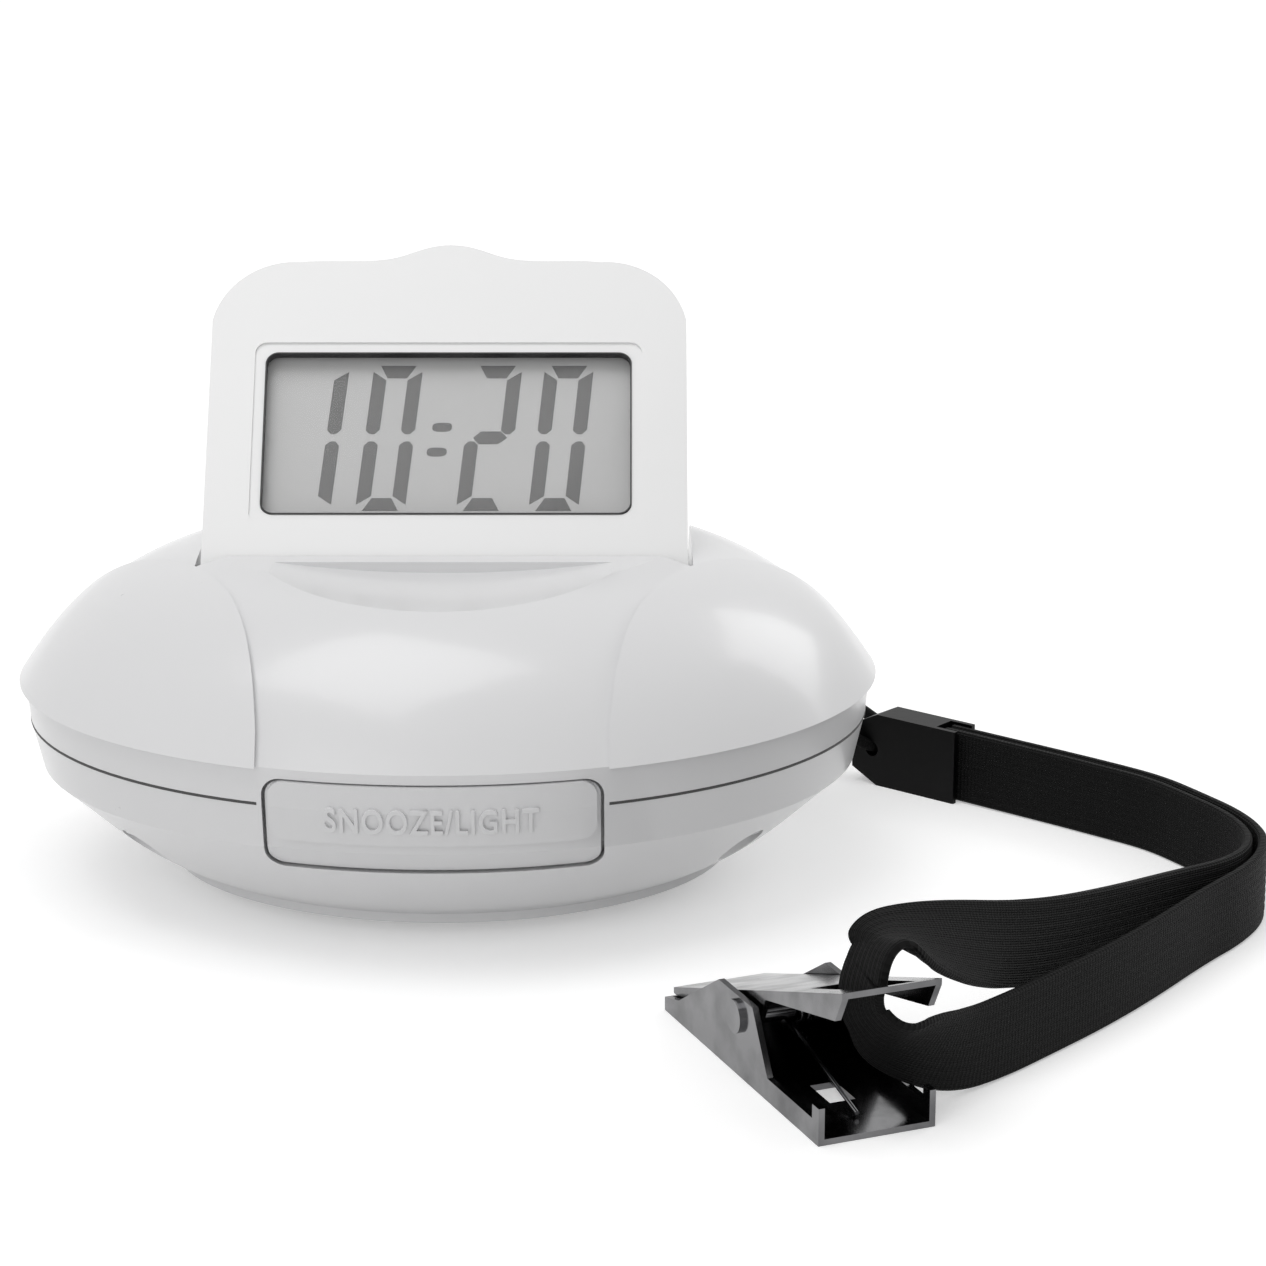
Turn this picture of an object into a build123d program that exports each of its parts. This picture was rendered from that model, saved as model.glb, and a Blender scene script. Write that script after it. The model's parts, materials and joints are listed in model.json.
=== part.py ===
from build123d import *
from math import cos, radians, sin, sqrt
import os

os.makedirs("parts", exist_ok=True)

# Bed shaker alarm clock, millimetres, standing on its foot pad at Z zero, front towards -Y.

# Body: an oval dome over an oval bowl, met by a narrow upright band
body_half_length = 52.5
body_half_depth = 43.5
crease_height = 26.0
dome_rise = 17.1
seam_height = 21.4
lower_crease_height = 15.7
base_height = 0.6
seam_half_length = 52.1
seam_half_depth = 43.1
lower_half_length = 50.8
lower_half_depth = 41.8
plateau_height = 42.3
wall = 2.0
overrun = 30.0
slack = 0.3
dome_shares = [(1, 0), (0.9, 0.393), (0.8, 0.648), (0.7, 0.809), (0.6, 0.909), (0.53, 0.953)]
bowl_shares = [(1, 0), (0.9, 0.298), (0.8, 0.572), (0.7, 0.764), (0.6, 0.883), (0.45, 0.98)]

# Raised wings on the dome and the oval foot pad under the bowl
wing_rise = 0.8
wing_front_x = 20.3
wing_front_y = -38.5
wing_bend_x = 30.5
wing_bend_y = -10.5
wing_end_x = 52.5
wing_end_y = 8.0
foot_rise = 1.0
foot_half_length = 35.0
foot_half_depth = 28.0

# Thumb scoop in front of the display
scoop_depth = 1.35
scoop_half_width = 20.5
scoop_start_y = -10.5
scoop_start_inset = 10.0
brow_bend_share = 0.12
shoulder_bend_share = 0.45
scoop_end_y = -31.0

# Fold-away display: a flat panel rounded at its hinge end
display_base_y = -7.1
display_lean = 38.0
display_closed_lean = 97.0
display_depth = 8.0
display_half_width = 29.7
display_side_height = 32.0
display_shoulder_x = 27.1
display_shoulder_height = 37.0
display_arch_x = 18.9
display_arch_height = 40.2
display_top_height = 40.9
tab_half_width = 6.6
tab_height = 42.6
display_gap = 0.6
pocket_gap = 1.3
hinge_pin_radius = 1.25
hinge_pin_length = 9.0
hinge_pin_entry = 4.5
hinge_play = 0.06
ear_length = 4.5
ear_radius = 4.6
front_wall = 1.4
back_wall = 1.2

# Window, lens and the parts stacked behind it
window_half_width = 22.85
window_bottom = 5.5
window_top = 27.6
window_round = 1.5
display_side_wall = 1.6
window_step_margin = 1.3
window_step_depth = 0.3
lens_margin = 1.5
lens_thickness = 1.0
lcd_margin = 2.2
lcd_thickness = 2.0
backlight_thickness = 1.0
display_board_thickness = 0.8
stack_gap = 0.1
strip_height = 1.6
display_screw_radius = 0.8
display_screw_head_radius = 1.5
display_screw_head = 0.8
display_screw_length = 5.0
ribbon_half_width = 5.0
ribbon_thickness = 0.3
ribbon_lap = 1.2
ribbon_reach = 2.7

# Snooze bar and its opening in the front band
snooze_half_width = 19.7
snooze_bottom = 12.5
snooze_top = 24.8
snooze_corner = 2.3
snooze_pad_rise = 0.5
snooze_pad_bottom = 17.0
snooze_pad_margin = 0.8
snooze_skirt_sink = 0.5
snooze_flange = 1.6
snooze_flange_thickness = 1.0
snooze_stem_tip = 37.2
snooze_board_y = -33.0
snooze_board_width = 24.0
snooze_board_height = 10.0
snooze_post_x = 9.0

# Batteries and their bay
cell_radius = 5.25
cell_body_length = 43.7
cell_button_radius = 1.9
cell_button_length = 0.8
cell_pitch = 11.2
cell_floor = 3.2
bay_gap = 0.5
bay_wall = 1.4
contact_thickness = 0.5
contact_half_width = 4.2
spring_room = 3.4
spring_wire = 0.5
spring_radius = 3.2
spring_turns = 3
door_half_length = 26.0
door_half_width = 13.2
door_round = 1.5
door_top = 2.1
door_lift = 0.3
door_gap = 0.3

# Boards
board_thickness = 1.6
board_half_width = 27.0
board_start = 5.0
board_end = 35.0
board_drop = 6.7
board_post_radius = 2.6
board_screw_x = 23.5

# Set buttons and the mode slide in the pocket floor
set_pitch = 12.0
set_row = 26.0
set_radius = 2.5
set_rise = 0.6
set_flange_radius = 3.4
set_flange = 0.8
set_stem_radius = 1.5
set_travel = 0.4
set_play = 0.2
switch_side = 6.0
switch_height = 3.0
switch_well_radius = 1.9
switch_well_depth = 1.4
mode_row = 13.0
mode_knob_width = 4.0
mode_knob_depth = 2.6
mode_travel = 4.0
mode_body_length = 12.0
mode_body_depth = 5.0
mode_body_height = 3.2

# Vibration motor, its cradle and the eccentric weight
motor_x = 36.0
motor_height = 18.0
motor_radius = 6.0
motor_front_y = -4.0
motor_length = 18.0
motor_nose_radius = 2.0
motor_nose_length = 1.0
shaft_radius = 1.0
shaft_entry = 5.0
shaft_play = 0.06
weight_radius = 6.6
weight_length = 7.0
weight_hub_radius = 2.4
weight_gap = 1.6
cradle_length = 12.0
cradle_half_width = 11.0
clamp_thickness = 1.2
clamp_screw_offset = 9.1

# Buzzer
buzzer_x = -37.0
buzzer_radius = 8.0
buzzer_height = 4.0
buzzer_seat_height = 15.5
buzzer_rim = 1.6
buzzer_port_radius = 1.2
buzzer_port_pitch = 4.0

# Fasteners
shell_screw_x = 36.0
shell_screw_y = 20.0
shell_boss_radius = 3.4
shell_screw_radius = 1.2
shell_screw_head_radius = 2.4
shell_screw_head = 1.6
shell_screw_seat = 13.0
shell_screw_grip = 5.0
small_screw_radius = 0.9
small_screw_head_radius = 1.7
small_screw_head = 0.9
small_screw_length = 5.0
screw_play = 0.05

# Strap eyelet at the rear right, with its steel pin
eyelet_angle = 45.0
eyelet_width = 7.0
eyelet_depth = 5.5
lanyard_pin_setback = 2.6
eyelet_bottom = 14.4
eyelet_top = 20.4
lanyard_pin_radius = 0.8
lanyard_pin_entry = 0.8

# Strap: a woven band folded in two, crimped in an end cap
band_width = 9.6
band_thickness = 1.2
band_clearance = 0.2
cap_x = 54.3
cap_y = 35.2
cap_heading = 39.4
cap_length = 16.6
cap_height = 10.0
cap_thickness = 4.8
cap_chamfer = 2.0
cap_slope = 4.0
cap_mouth = 3.4
cap_entry = 3.4
cap_hole = 3.2

# Route of each strap layer: centre points, each with its width direction as shares
# along the clip and up
upright_shares = (0, 1)
outer_stations = [
    ((65.75, 26.85, 5.0), upright_shares), ((77.4, 17.4, 4.9), upright_shares),
    ((84.7, 11.1, 4.9), upright_shares), ((90.6, 5.5, 4.9), upright_shares),
    ((94.6, -1.2, 4.9), upright_shares), ((98.3, -7.9, 4.9), upright_shares),
    ((100.1, -15.0, 4.9), upright_shares), ((99.0, -22.0, 4.9), upright_shares),
    ((95.6, -28.6, 4.9), upright_shares), ((90.0, -35.6, 4.9), upright_shares),
    ((82.5, -46.4, 4.9), upright_shares), ((75.7, -55.1, 4.9), upright_shares),
    ((69.2, -62.4, 4.9), upright_shares), ((63.3, -68.9, 4.9), upright_shares),
    ((58.0, -74.4, 5.3), (0.1, 1)), ((53.0, -78.9, 7.8), (0.45, 0.85)),
    ((48.7, -81.9, 10.2), (0.8, 0.55)), ((46.4, -80.75, 13.6), (0.9, 0.42)),
    ((47.35, -81.05, 16.9), (0.9, 0.42))]
inner_stations = [
    ((64.75, 25.65, 5.0), upright_shares), ((76.3, 16.2, 4.9), upright_shares),
    ((83.4, 9.9, 4.9), upright_shares), ((89.2, 4.6, 4.9), upright_shares),
    ((93.0, -1.8, 4.9), upright_shares), ((96.6, -8.2, 4.9), upright_shares),
    ((98.3, -15.0, 4.9), upright_shares), ((97.2, -21.4, 5.0), upright_shares),
    ((93.4, -27.4, 5.4), upright_shares), ((86.6, -33.8, 6.3), upright_shares),
    ((77.0, -45.2, 8.3), upright_shares), ((69.6, -55.2, 10.6), (-0.1, 1)),
    ((63.4, -63.4, 13.2), (-0.3, 0.95)), ((58.4, -69.6, 15.8), (-0.6, 0.8)),
    ((54.0, -74.6, 18.1), (-0.85, 0.5)), ((50.2, -78.6, 20.0), (-0.9, 0.1)),
    ((47.9, -80.9, 20.0), (-0.9, -0.3)), ((47.35, -81.05, 17.3), (-0.9, -0.42))]

# Lanyard cord
cord_radius = 0.8
corner_share = 0.45
cord_points = [(56.85, 33.3, 5.0), (59.1, 36.0, 5.2), (55.5, 40.6, 7.0), (46.0, 42.4, 13.0),
               (34.9, 36.6, 16.8), (28.7, 31.8, 17.2), (31.3, 28.9, 17.6), (38.0, 34.0, 17.0),
               (46.5, 35.5, 11.0), (54.4, 30.3, 5.2), (56.65, 33.05, 5.0)]

# Clip: stamped steel jaws on a rivet, lying on the table
clip_tip_x = 32.9
clip_tip_y = -47.0
clip_turn = 22.5
clip_length = 40.8
clip_width = 13.6
sheet = 0.7
lip_height = 1.6
cheek_start = 4.0
cheek_rise = 15.0
cheek_end = 24.0
cheek_drop = 28.0
cheek_height = 9.2
cheek_low = 2.6
tab_length = 1.6
tab_rise = 4.2
tongue_from_tip = 30.0
tongue_length = 5.0
tongue_width = 3.0
pivot_from_tip = 20.0
pivot_height = 6.8
rivet_radius = 1.2
rivet_head_radius = 1.9
rivet_head = 0.5
rivet_play = 0.08
upper_width = 11.4
handle_length = 43.6
tip_height = 2.6
tip_drop = 0.7
bar_height = 17.9
flange_start = 10.0
flange_foot = 4.8
flange_bend = 25.0
flange_end = 42.0
handle_flange = 3.6
slot_width = 6.6
slot_length = 11.4
slot_edge = 1.2
coil_radius = 1.75
coil_wire = 0.5
coil_start = -0.5
coil_turns = 5.5
coil_pitch = 0.85
leg_reach = 37.0
leg_top_reach = 29.0


def lean_plane(lean, origin):
    # plane facing the viewer, leaning back by this angle from upright
    angle = radians(lean)
    return Plane(origin=origin, x_dir=(1, 0, 0), z_dir=(0, -cos(angle), sin(angle)))


def dome_form(grow):
    # upper half of the outer form, every face moved outward by one amount
    reach, depth = body_half_length + grow, body_half_depth + grow
    with BuildPart() as form:
        with BuildSketch(Plane.XY.offset(seam_height)):
            Ellipse(seam_half_length + grow, seam_half_depth + grow)
        with BuildSketch(Plane.XY.offset(crease_height)):
            Ellipse(reach, depth)
        loft(ruled=True)
        for r, h in dome_shares:
            with BuildSketch(Plane.XY.offset(crease_height + h * (dome_rise + grow))):
                Ellipse(r * reach, r * depth)
        loft()
    return form.part


def bowl_form(grow):
    # lower half of the outer form, every face moved outward by one amount
    reach, depth = lower_half_length + grow, lower_half_depth + grow
    drop = lower_crease_height - base_height + grow
    with BuildPart() as form:
        with BuildSketch(Plane.XY.offset(seam_height)):
            Ellipse(seam_half_length + grow, seam_half_depth + grow)
        with BuildSketch(Plane.XY.offset(lower_crease_height)):
            Ellipse(reach, depth)
        loft(ruled=True)
        for r, h in bowl_shares:
            with BuildSketch(Plane.XY.offset(lower_crease_height - h * drop)):
                Ellipse(r * reach, r * depth)
        loft()
    return form.part


def band_y(x, grow):
    # front or rear distance of the band from the middle plane, at one x
    return (body_half_depth + grow) * sqrt(1 - (x / (body_half_length + grow)) ** 2)


# Frames of the display: open as it stands, and closed over its pocket
display_plane = lean_plane(display_lean, (0, display_base_y, plateau_height))
barrel_radius = display_depth / 2
hinge_drop = 3.5
low_screw_x = 18.0
low_screw_drop = -1.0
high_screw_x = 15.0
high_screw_rise = 34.5
hinge_point = display_plane.from_local_coords((0, -hinge_drop, -barrel_radius))
closed_plane = lean_plane(display_closed_lean, hinge_point)
fold_angle = display_closed_lean - display_lean
pocket_floor = -barrel_radius - pocket_gap
floor_under = pocket_floor - wall
board_top = floor_under - board_drop + wall
board_plane = closed_plane.offset(board_top)
print("hinge axis", hinge_point, "fold", fold_angle)


def panel_outline(grow, base):
    # outline of the display panel, measured up from its base line
    half = display_half_width + grow
    side = display_side_height
    with BuildSketch() as outline:
        with BuildLine():
            Polyline((0, base), (half, base), (half, side))
            shoulder = ThreePointArc((half, side),
                                     (display_shoulder_x + grow, display_shoulder_height + grow),
                                     (display_arch_x + grow, display_arch_height + grow))
            Spline([(display_arch_x + grow, display_arch_height + grow),
                    (tab_half_width + grow, display_top_height + grow),
                    (0, tab_height + grow)],
                   tangents=[(-1, brow_bend_share), (-1, 0)])
            Line((0, tab_height + grow), (0, base))
        make_face()
        mirror(about=Plane.YZ)
    return outline.sketch


def save(name, solid):
    # label one piece and write it as a STEP file
    solid.label = name
    export_step(solid, "parts/" + name + ".step")
    print(name, len(solid.solids()), round(solid.volume, 1), solid.is_valid)


# Shared forms, made before the parts that use them
outer_dome = dome_form(0)
inner_dome = dome_form(-wall)
outer_bowl = bowl_form(0)
inner_bowl = bowl_form(-wall)
raised_dome = dome_form(wing_rise)
raised_bowl = bowl_form(foot_rise)

wing_corner = (wing_front_x, wing_front_y - overrun)
with BuildPart() as wing_form:
    with BuildSketch(Plane.XY.offset(crease_height)):
        with BuildLine():
            Line(wing_corner, (wing_front_x, wing_front_y))
            Spline((wing_front_x, wing_front_y), (wing_bend_x, wing_bend_y), (wing_end_x, wing_end_y),
                   tangents=[(brow_bend_share, 1), (1, shoulder_bend_share)])
            Polyline((wing_end_x, wing_end_y), (body_half_length + overrun, wing_end_y),
                     (body_half_length + overrun, wing_front_y - overrun), wing_corner)
        make_face()
        mirror(about=Plane.YZ)
    extrude(amount=plateau_height - crease_height)
    add(raised_dome, mode=Mode.INTERSECT)
    add(inner_dome, mode=Mode.SUBTRACT)

with BuildPart() as foot_form:
    with BuildSketch():
        Ellipse(foot_half_length, foot_half_depth)
    extrude(amount=lower_crease_height)
    add(raised_bowl, mode=Mode.INTERSECT)
    add(inner_bowl, mode=Mode.SUBTRACT)

# The room that the display needs between open and closed
gap_outline = panel_outline(display_gap, -hinge_drop)
room_half = display_half_width + display_gap
with BuildPart() as display_room:
    with BuildSketch(closed_plane.offset(pocket_floor)):
        with Locations((0, hinge_drop)):
            add(gap_outline)
    extrude(amount=overrun)
    with BuildSketch(display_plane.offset(-barrel_radius)):
        add(gap_outline)
    extrude(amount=barrel_radius + slack)
    with BuildSketch(Plane.YZ.offset(-room_half)):
        with Locations((hinge_point.Y, hinge_point.Z)):
            Circle(barrel_radius + pocket_gap)
    extrude(amount=2 * room_half)

# Tub that carries the pocket floor and walls inside the dome, with a hinge ear each side
tub_outline = panel_outline(display_gap + wall, -hinge_drop - barrel_radius)
ear_half = room_half + ear_length
with BuildPart() as pocket_tub:
    with BuildSketch(closed_plane.offset(floor_under)):
        with Locations((0, hinge_drop)):
            add(tub_outline)
    extrude(amount=overrun)
    with BuildSketch(Plane.YZ.offset(-ear_half)):
        with Locations((hinge_point.Y, hinge_point.Z)):
            Circle(ear_radius + wall)
    extrude(amount=2 * ear_half)

shell_screw_spots = [(x, y) for x in (-shell_screw_x, shell_screw_x)
                     for y in (-shell_screw_y, shell_screw_y)]
set_columns = [-1.5 * set_pitch, -0.5 * set_pitch, 0.5 * set_pitch, 1.5 * set_pitch]
board_screw_spots = [(-board_screw_x, board_start + board_post_radius),
                     (board_screw_x, board_start + board_post_radius),
                     (0, board_end - board_post_radius)]
scoop_radius = (scoop_half_width ** 2 + scoop_depth ** 2) / (2 * scoop_depth)
snooze_height = snooze_top - snooze_bottom
snooze_centre = (snooze_top + snooze_bottom) / 2
front_plane = Plane.XZ.offset(body_half_depth - scoop_start_inset)

# Top shell: dome, pocket, wings, scoop and the upper part of the snooze opening
with BuildPart() as top_shell:
    add(pocket_tub.part)
    with BuildSketch(Plane.XY.offset(seam_height)):
        with Locations(*shell_screw_spots):
            Circle(shell_boss_radius)
    extrude(amount=dome_rise)
    with BuildSketch(board_plane):
        with Locations(*board_screw_spots):
            Circle(board_post_radius)
    extrude(amount=board_drop)
    add(outer_dome, mode=Mode.INTERSECT)
    add(outer_dome - inner_dome)
    add(wing_form.part)
    add(display_room.part, mode=Mode.SUBTRACT)
    with BuildSketch(Plane.XZ.offset(-scoop_start_y)):
        with Locations((0, plateau_height - scoop_depth + scoop_radius)):
            Circle(scoop_radius)
    extrude(amount=scoop_start_y - scoop_end_y, mode=Mode.SUBTRACT)
    with BuildSketch(front_plane):
        with Locations((0, snooze_centre)):
            RectangleRounded(2 * snooze_half_width, snooze_height, snooze_corner)
    extrude(amount=overrun, mode=Mode.SUBTRACT)
    with BuildSketch(Plane.XY.offset(seam_height)):
        with Locations(*shell_screw_spots):
            Circle(shell_screw_radius + screw_play)
    extrude(amount=shell_screw_grip, mode=Mode.SUBTRACT)
    with BuildSketch(board_plane):
        with Locations(*board_screw_spots):
            Circle(small_screw_radius + screw_play)
    extrude(amount=small_screw_length - board_thickness, mode=Mode.SUBTRACT)
    with BuildSketch(closed_plane.offset(pocket_floor)):
        with Locations(*[(x, set_row) for x in set_columns]):
            Circle(set_radius + set_play)
        with Locations((0, mode_row)):
            Rectangle(mode_knob_width + mode_travel + 2 * set_play, mode_knob_depth + 2 * set_play)
        Rectangle(2 * ribbon_half_width + 2 * slack, 2 * slack + ribbon_thickness)
    extrude(amount=-2 * wall, mode=Mode.SUBTRACT)
    with BuildSketch(Plane.YZ.offset(-ear_half)):
        with Locations((hinge_point.Y, hinge_point.Z)):
            Circle(hinge_pin_radius)
    extrude(amount=2 * ear_half, mode=Mode.SUBTRACT)
save("top_shell", top_shell.part)


# Bottom shell: bowl, foot pad, bosses, battery bay, motor cradle and buzzer seat
bay_half_length = (cell_body_length + cell_button_length + spring_room) / 2 + contact_thickness
bay_half_width = cell_pitch / 2 + cell_radius + bay_gap
bay_top = cell_floor + 2 * cell_radius + bay_gap
snooze_post_depth = 4 * small_screw_radius + slack
eyelet = Plane.XY.rotated((0, 0, eyelet_angle))
eyelet_reach = sqrt(1 / ((cos(radians(eyelet_angle)) / seam_half_length) ** 2
                         + (sin(radians(eyelet_angle)) / seam_half_depth) ** 2))
pin_reach = eyelet_reach - lanyard_pin_setback
with BuildPart() as lower_room:
    with BuildSketch():
        Rectangle(2 * (bay_half_length + bay_wall), 2 * (bay_half_width + bay_wall))
    extrude(amount=bay_top + bay_wall)
    with BuildSketch():
        with Locations(*shell_screw_spots):
            Circle(shell_boss_radius)
    extrude(amount=seam_height)
    with BuildSketch():
        with Locations((buzzer_x, 0)):
            Circle(buzzer_radius + buzzer_rim)
    extrude(amount=buzzer_seat_height + buzzer_height / 2)
    with BuildSketch():
        with Locations((buzzer_x, 0)):
            Circle(buzzer_radius - buzzer_rim)
    extrude(amount=buzzer_seat_height, mode=Mode.SUBTRACT)
    with BuildSketch(Plane.XY.offset(buzzer_seat_height)):
        with Locations((buzzer_x, 0)):
            Circle(buzzer_radius)
    extrude(amount=buzzer_height, mode=Mode.SUBTRACT)
    with BuildSketch():
        with Locations((motor_x, motor_front_y + motor_length / 2)):
            Rectangle(2 * cradle_half_width, cradle_length)
    extrude(amount=motor_height)
    with BuildSketch():
        with Locations(*[(x, snooze_board_y + snooze_post_depth / 2)
                         for x in (-snooze_post_x, snooze_post_x)]):
            Rectangle(4 * small_screw_radius + slack, snooze_post_depth)
    extrude(amount=seam_height - slack)
    with BuildSketch(eyelet):
        with Locations((eyelet_reach, 0)):
            Rectangle(2 * eyelet_depth + 2 * wall, eyelet_width + 2 * wall)
    extrude(amount=seam_height)
    add(outer_bowl, mode=Mode.INTERSECT)

with BuildPart() as bottom_shell:
    add(outer_bowl - inner_bowl)
    add(foot_form.part)
    add(lower_room.part)
    with BuildSketch():
        RectangleRounded(2 * (door_half_length + door_gap), 2 * (door_half_width + door_gap), door_round)
    extrude(amount=door_top, mode=Mode.SUBTRACT)
    with BuildSketch():
        Rectangle(2 * bay_half_length, 2 * bay_half_width)
    extrude(amount=bay_top, mode=Mode.SUBTRACT)
    with BuildSketch():
        with Locations(*shell_screw_spots):
            Circle(shell_screw_head_radius + slack)
    extrude(amount=shell_screw_seat, mode=Mode.SUBTRACT)
    with BuildSketch():
        with Locations(*shell_screw_spots):
            Circle(shell_screw_radius + screw_play)
    extrude(amount=seam_height, mode=Mode.SUBTRACT)
    with BuildSketch():
        with Locations(*[(buzzer_x, y) for y in (-buzzer_port_pitch, 0, buzzer_port_pitch)]):
            Circle(buzzer_port_radius)
    extrude(amount=buzzer_seat_height, mode=Mode.SUBTRACT)
    with BuildSketch(Plane.XZ.offset(-motor_front_y - motor_length)):
        with Locations((motor_x, motor_height)):
            Circle(motor_radius)
    extrude(amount=motor_length, mode=Mode.SUBTRACT)
    with BuildSketch(Plane.XY.offset(motor_height)):
        with Locations(*[(motor_x + side, motor_front_y + motor_length / 2)
                         for side in (-clamp_screw_offset, clamp_screw_offset)]):
            Circle(small_screw_radius + screw_play)
    extrude(amount=-small_screw_length, mode=Mode.SUBTRACT)
    with BuildSketch(front_plane):
        with Locations((0, snooze_centre)):
            RectangleRounded(2 * snooze_half_width, snooze_height, snooze_corner)
    extrude(amount=overrun, mode=Mode.SUBTRACT)
    with BuildSketch(Plane.XZ.offset(-snooze_board_y)):
        with Locations(*[(x, snooze_centre) for x in (-snooze_post_x, snooze_post_x)]):
            Circle(small_screw_radius + screw_play)
    extrude(amount=-small_screw_length, mode=Mode.SUBTRACT)
    with BuildSketch(eyelet.offset(eyelet_bottom)):
        with Locations((eyelet_reach, 0)):
            Rectangle(2 * eyelet_depth, eyelet_width)
    extrude(amount=eyelet_top - eyelet_bottom, mode=Mode.SUBTRACT)
    with BuildSketch(eyelet.offset(eyelet_bottom - lanyard_pin_entry)):
        with Locations((pin_reach, 0)):
            Circle(lanyard_pin_radius)
    extrude(amount=eyelet_top - eyelet_bottom + 2 * lanyard_pin_entry, mode=Mode.SUBTRACT)
save("bottom_shell", bottom_shell.part)

with BuildPart() as lanyard_pin:
    with BuildSketch(eyelet.offset(eyelet_bottom - lanyard_pin_entry)):
        with Locations((pin_reach, 0)):
            Circle(lanyard_pin_radius)
    extrude(amount=eyelet_top - eyelet_bottom + 2 * lanyard_pin_entry)
save("lanyard_pin", lanyard_pin.part)

# Display casing: a front and a back half that meet on the hinge axis
full_outline = panel_outline(0, -hinge_drop)
inside_outline = panel_outline(-display_side_wall, display_side_wall)
window_centre = (0, (window_bottom + window_top) / 2)
window_width = 2 * window_half_width
window_height = window_top - window_bottom
hinge_plane = Plane.YZ.offset(-display_half_width)
display_screw_spots = [(-low_screw_x, low_screw_drop), (low_screw_x, low_screw_drop),
                       (-high_screw_x, high_screw_rise), (high_screw_x, high_screw_rise)]
with BuildPart() as display_solid:
    with BuildSketch(display_plane.offset(-display_depth)):
        add(full_outline)
    extrude(amount=display_depth)
    with BuildSketch(hinge_plane):
        with Locations((hinge_point.Y, hinge_point.Z)):
            Circle(barrel_radius)
    extrude(amount=2 * display_half_width)

with BuildPart() as display_front:
    add(display_solid.part)
    split(bisect_by=display_plane.offset(-barrel_radius), keep=Keep.TOP)
    with BuildSketch(display_plane.offset(-front_wall)):
        add(inside_outline)
    extrude(amount=-display_depth, mode=Mode.SUBTRACT)
    with BuildSketch(display_plane.offset(-front_wall)):
        with Locations(*display_screw_spots[2:]):
            Circle(display_screw_head_radius + front_wall)
    extrude(amount=-(barrel_radius - front_wall))
    with BuildSketch(display_plane.offset(-display_depth)):
        with Locations(*display_screw_spots):
            Circle(display_screw_radius + screw_play)
    extrude(amount=display_depth - front_wall, mode=Mode.SUBTRACT)
    with BuildSketch(display_plane):
        with Locations(window_centre):
            RectangleRounded(window_width, window_height, window_round)
    extrude(amount=-display_depth, mode=Mode.SUBTRACT)
    with BuildSketch(display_plane):
        with Locations(window_centre):
            RectangleRounded(window_width + 2 * window_step_margin,
                             window_height + 2 * window_step_margin, window_round)
    extrude(amount=-window_step_depth, mode=Mode.SUBTRACT)
    with BuildSketch(hinge_plane):
        with Locations((hinge_point.Y, hinge_point.Z)):
            Circle(hinge_pin_radius + hinge_play)
    extrude(amount=hinge_pin_entry + slack, mode=Mode.SUBTRACT)
    with BuildSketch(Plane.YZ.offset(display_half_width)):
        with Locations((hinge_point.Y, hinge_point.Z)):
            Circle(hinge_pin_radius + hinge_play)
    extrude(amount=-hinge_pin_entry - slack, mode=Mode.SUBTRACT)
save("display_front", display_front.part)

with BuildPart() as display_back:
    add(display_solid.part)
    split(bisect_by=display_plane.offset(-barrel_radius), keep=Keep.BOTTOM)
    with BuildSketch(display_plane.offset(-display_depth + back_wall)):
        add(inside_outline)
    extrude(amount=display_depth, mode=Mode.SUBTRACT)
    with BuildSketch(display_plane.offset(-display_depth + back_wall)):
        with Locations(*display_screw_spots[2:]):
            Circle(display_screw_head_radius + front_wall)
    extrude(amount=display_depth - back_wall - barrel_radius)
    with BuildSketch(display_plane.offset(-display_depth)):
        with Locations(*display_screw_spots):
            Circle(display_screw_radius + screw_play)
    extrude(amount=display_depth, mode=Mode.SUBTRACT)
    with BuildSketch(display_plane.offset(-display_depth)):
        with Locations(*display_screw_spots):
            Circle(display_screw_head_radius + screw_play)
    extrude(amount=display_screw_head + stack_gap, mode=Mode.SUBTRACT)
    with BuildSketch(hinge_plane):
        with Locations((hinge_point.Y, hinge_point.Z)):
            Circle(hinge_pin_radius + hinge_play)
    extrude(amount=hinge_pin_entry + slack, mode=Mode.SUBTRACT)
    with BuildSketch(Plane.YZ.offset(display_half_width)):
        with Locations((hinge_point.Y, hinge_point.Z)):
            Circle(hinge_pin_radius + hinge_play)
    extrude(amount=-hinge_pin_entry - slack, mode=Mode.SUBTRACT)
save("display_back", display_back.part)

with BuildPart() as display_screws:
    with BuildSketch(display_plane.offset(-display_depth + display_screw_head + stack_gap)):
        with Locations(*display_screw_spots):
            Circle(display_screw_radius)
    extrude(amount=display_screw_length)
    with BuildSketch(display_plane.offset(-display_depth + stack_gap)):
        with Locations(*display_screw_spots):
            Circle(display_screw_head_radius)
    extrude(amount=display_screw_head)
save("display_screws", display_screws.part)

with BuildPart() as hinge_pins:
    for side in (-1, 1):
        with BuildSketch(Plane.YZ.offset(side * (display_half_width - hinge_pin_entry))):
            with Locations((hinge_point.Y, hinge_point.Z)):
                Circle(hinge_pin_radius)
        extrude(amount=side * hinge_pin_length)
save("hinge_pins", hinge_pins.part)

# Flat parts stacked behind the window, front to back
lens_back = -front_wall - lens_thickness
lcd_front = lens_back - stack_gap
light_front = lcd_front - lcd_thickness - stack_gap
display_board_front = light_front - backlight_thickness - stack_gap
with BuildPart() as display_lens:
    with BuildSketch(display_plane.offset(-front_wall)):
        with Locations(window_centre):
            Rectangle(window_width + 2 * lens_margin, window_height + 2 * lens_margin)
    extrude(amount=-lens_thickness)
save("display_lens", display_lens.part)

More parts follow.
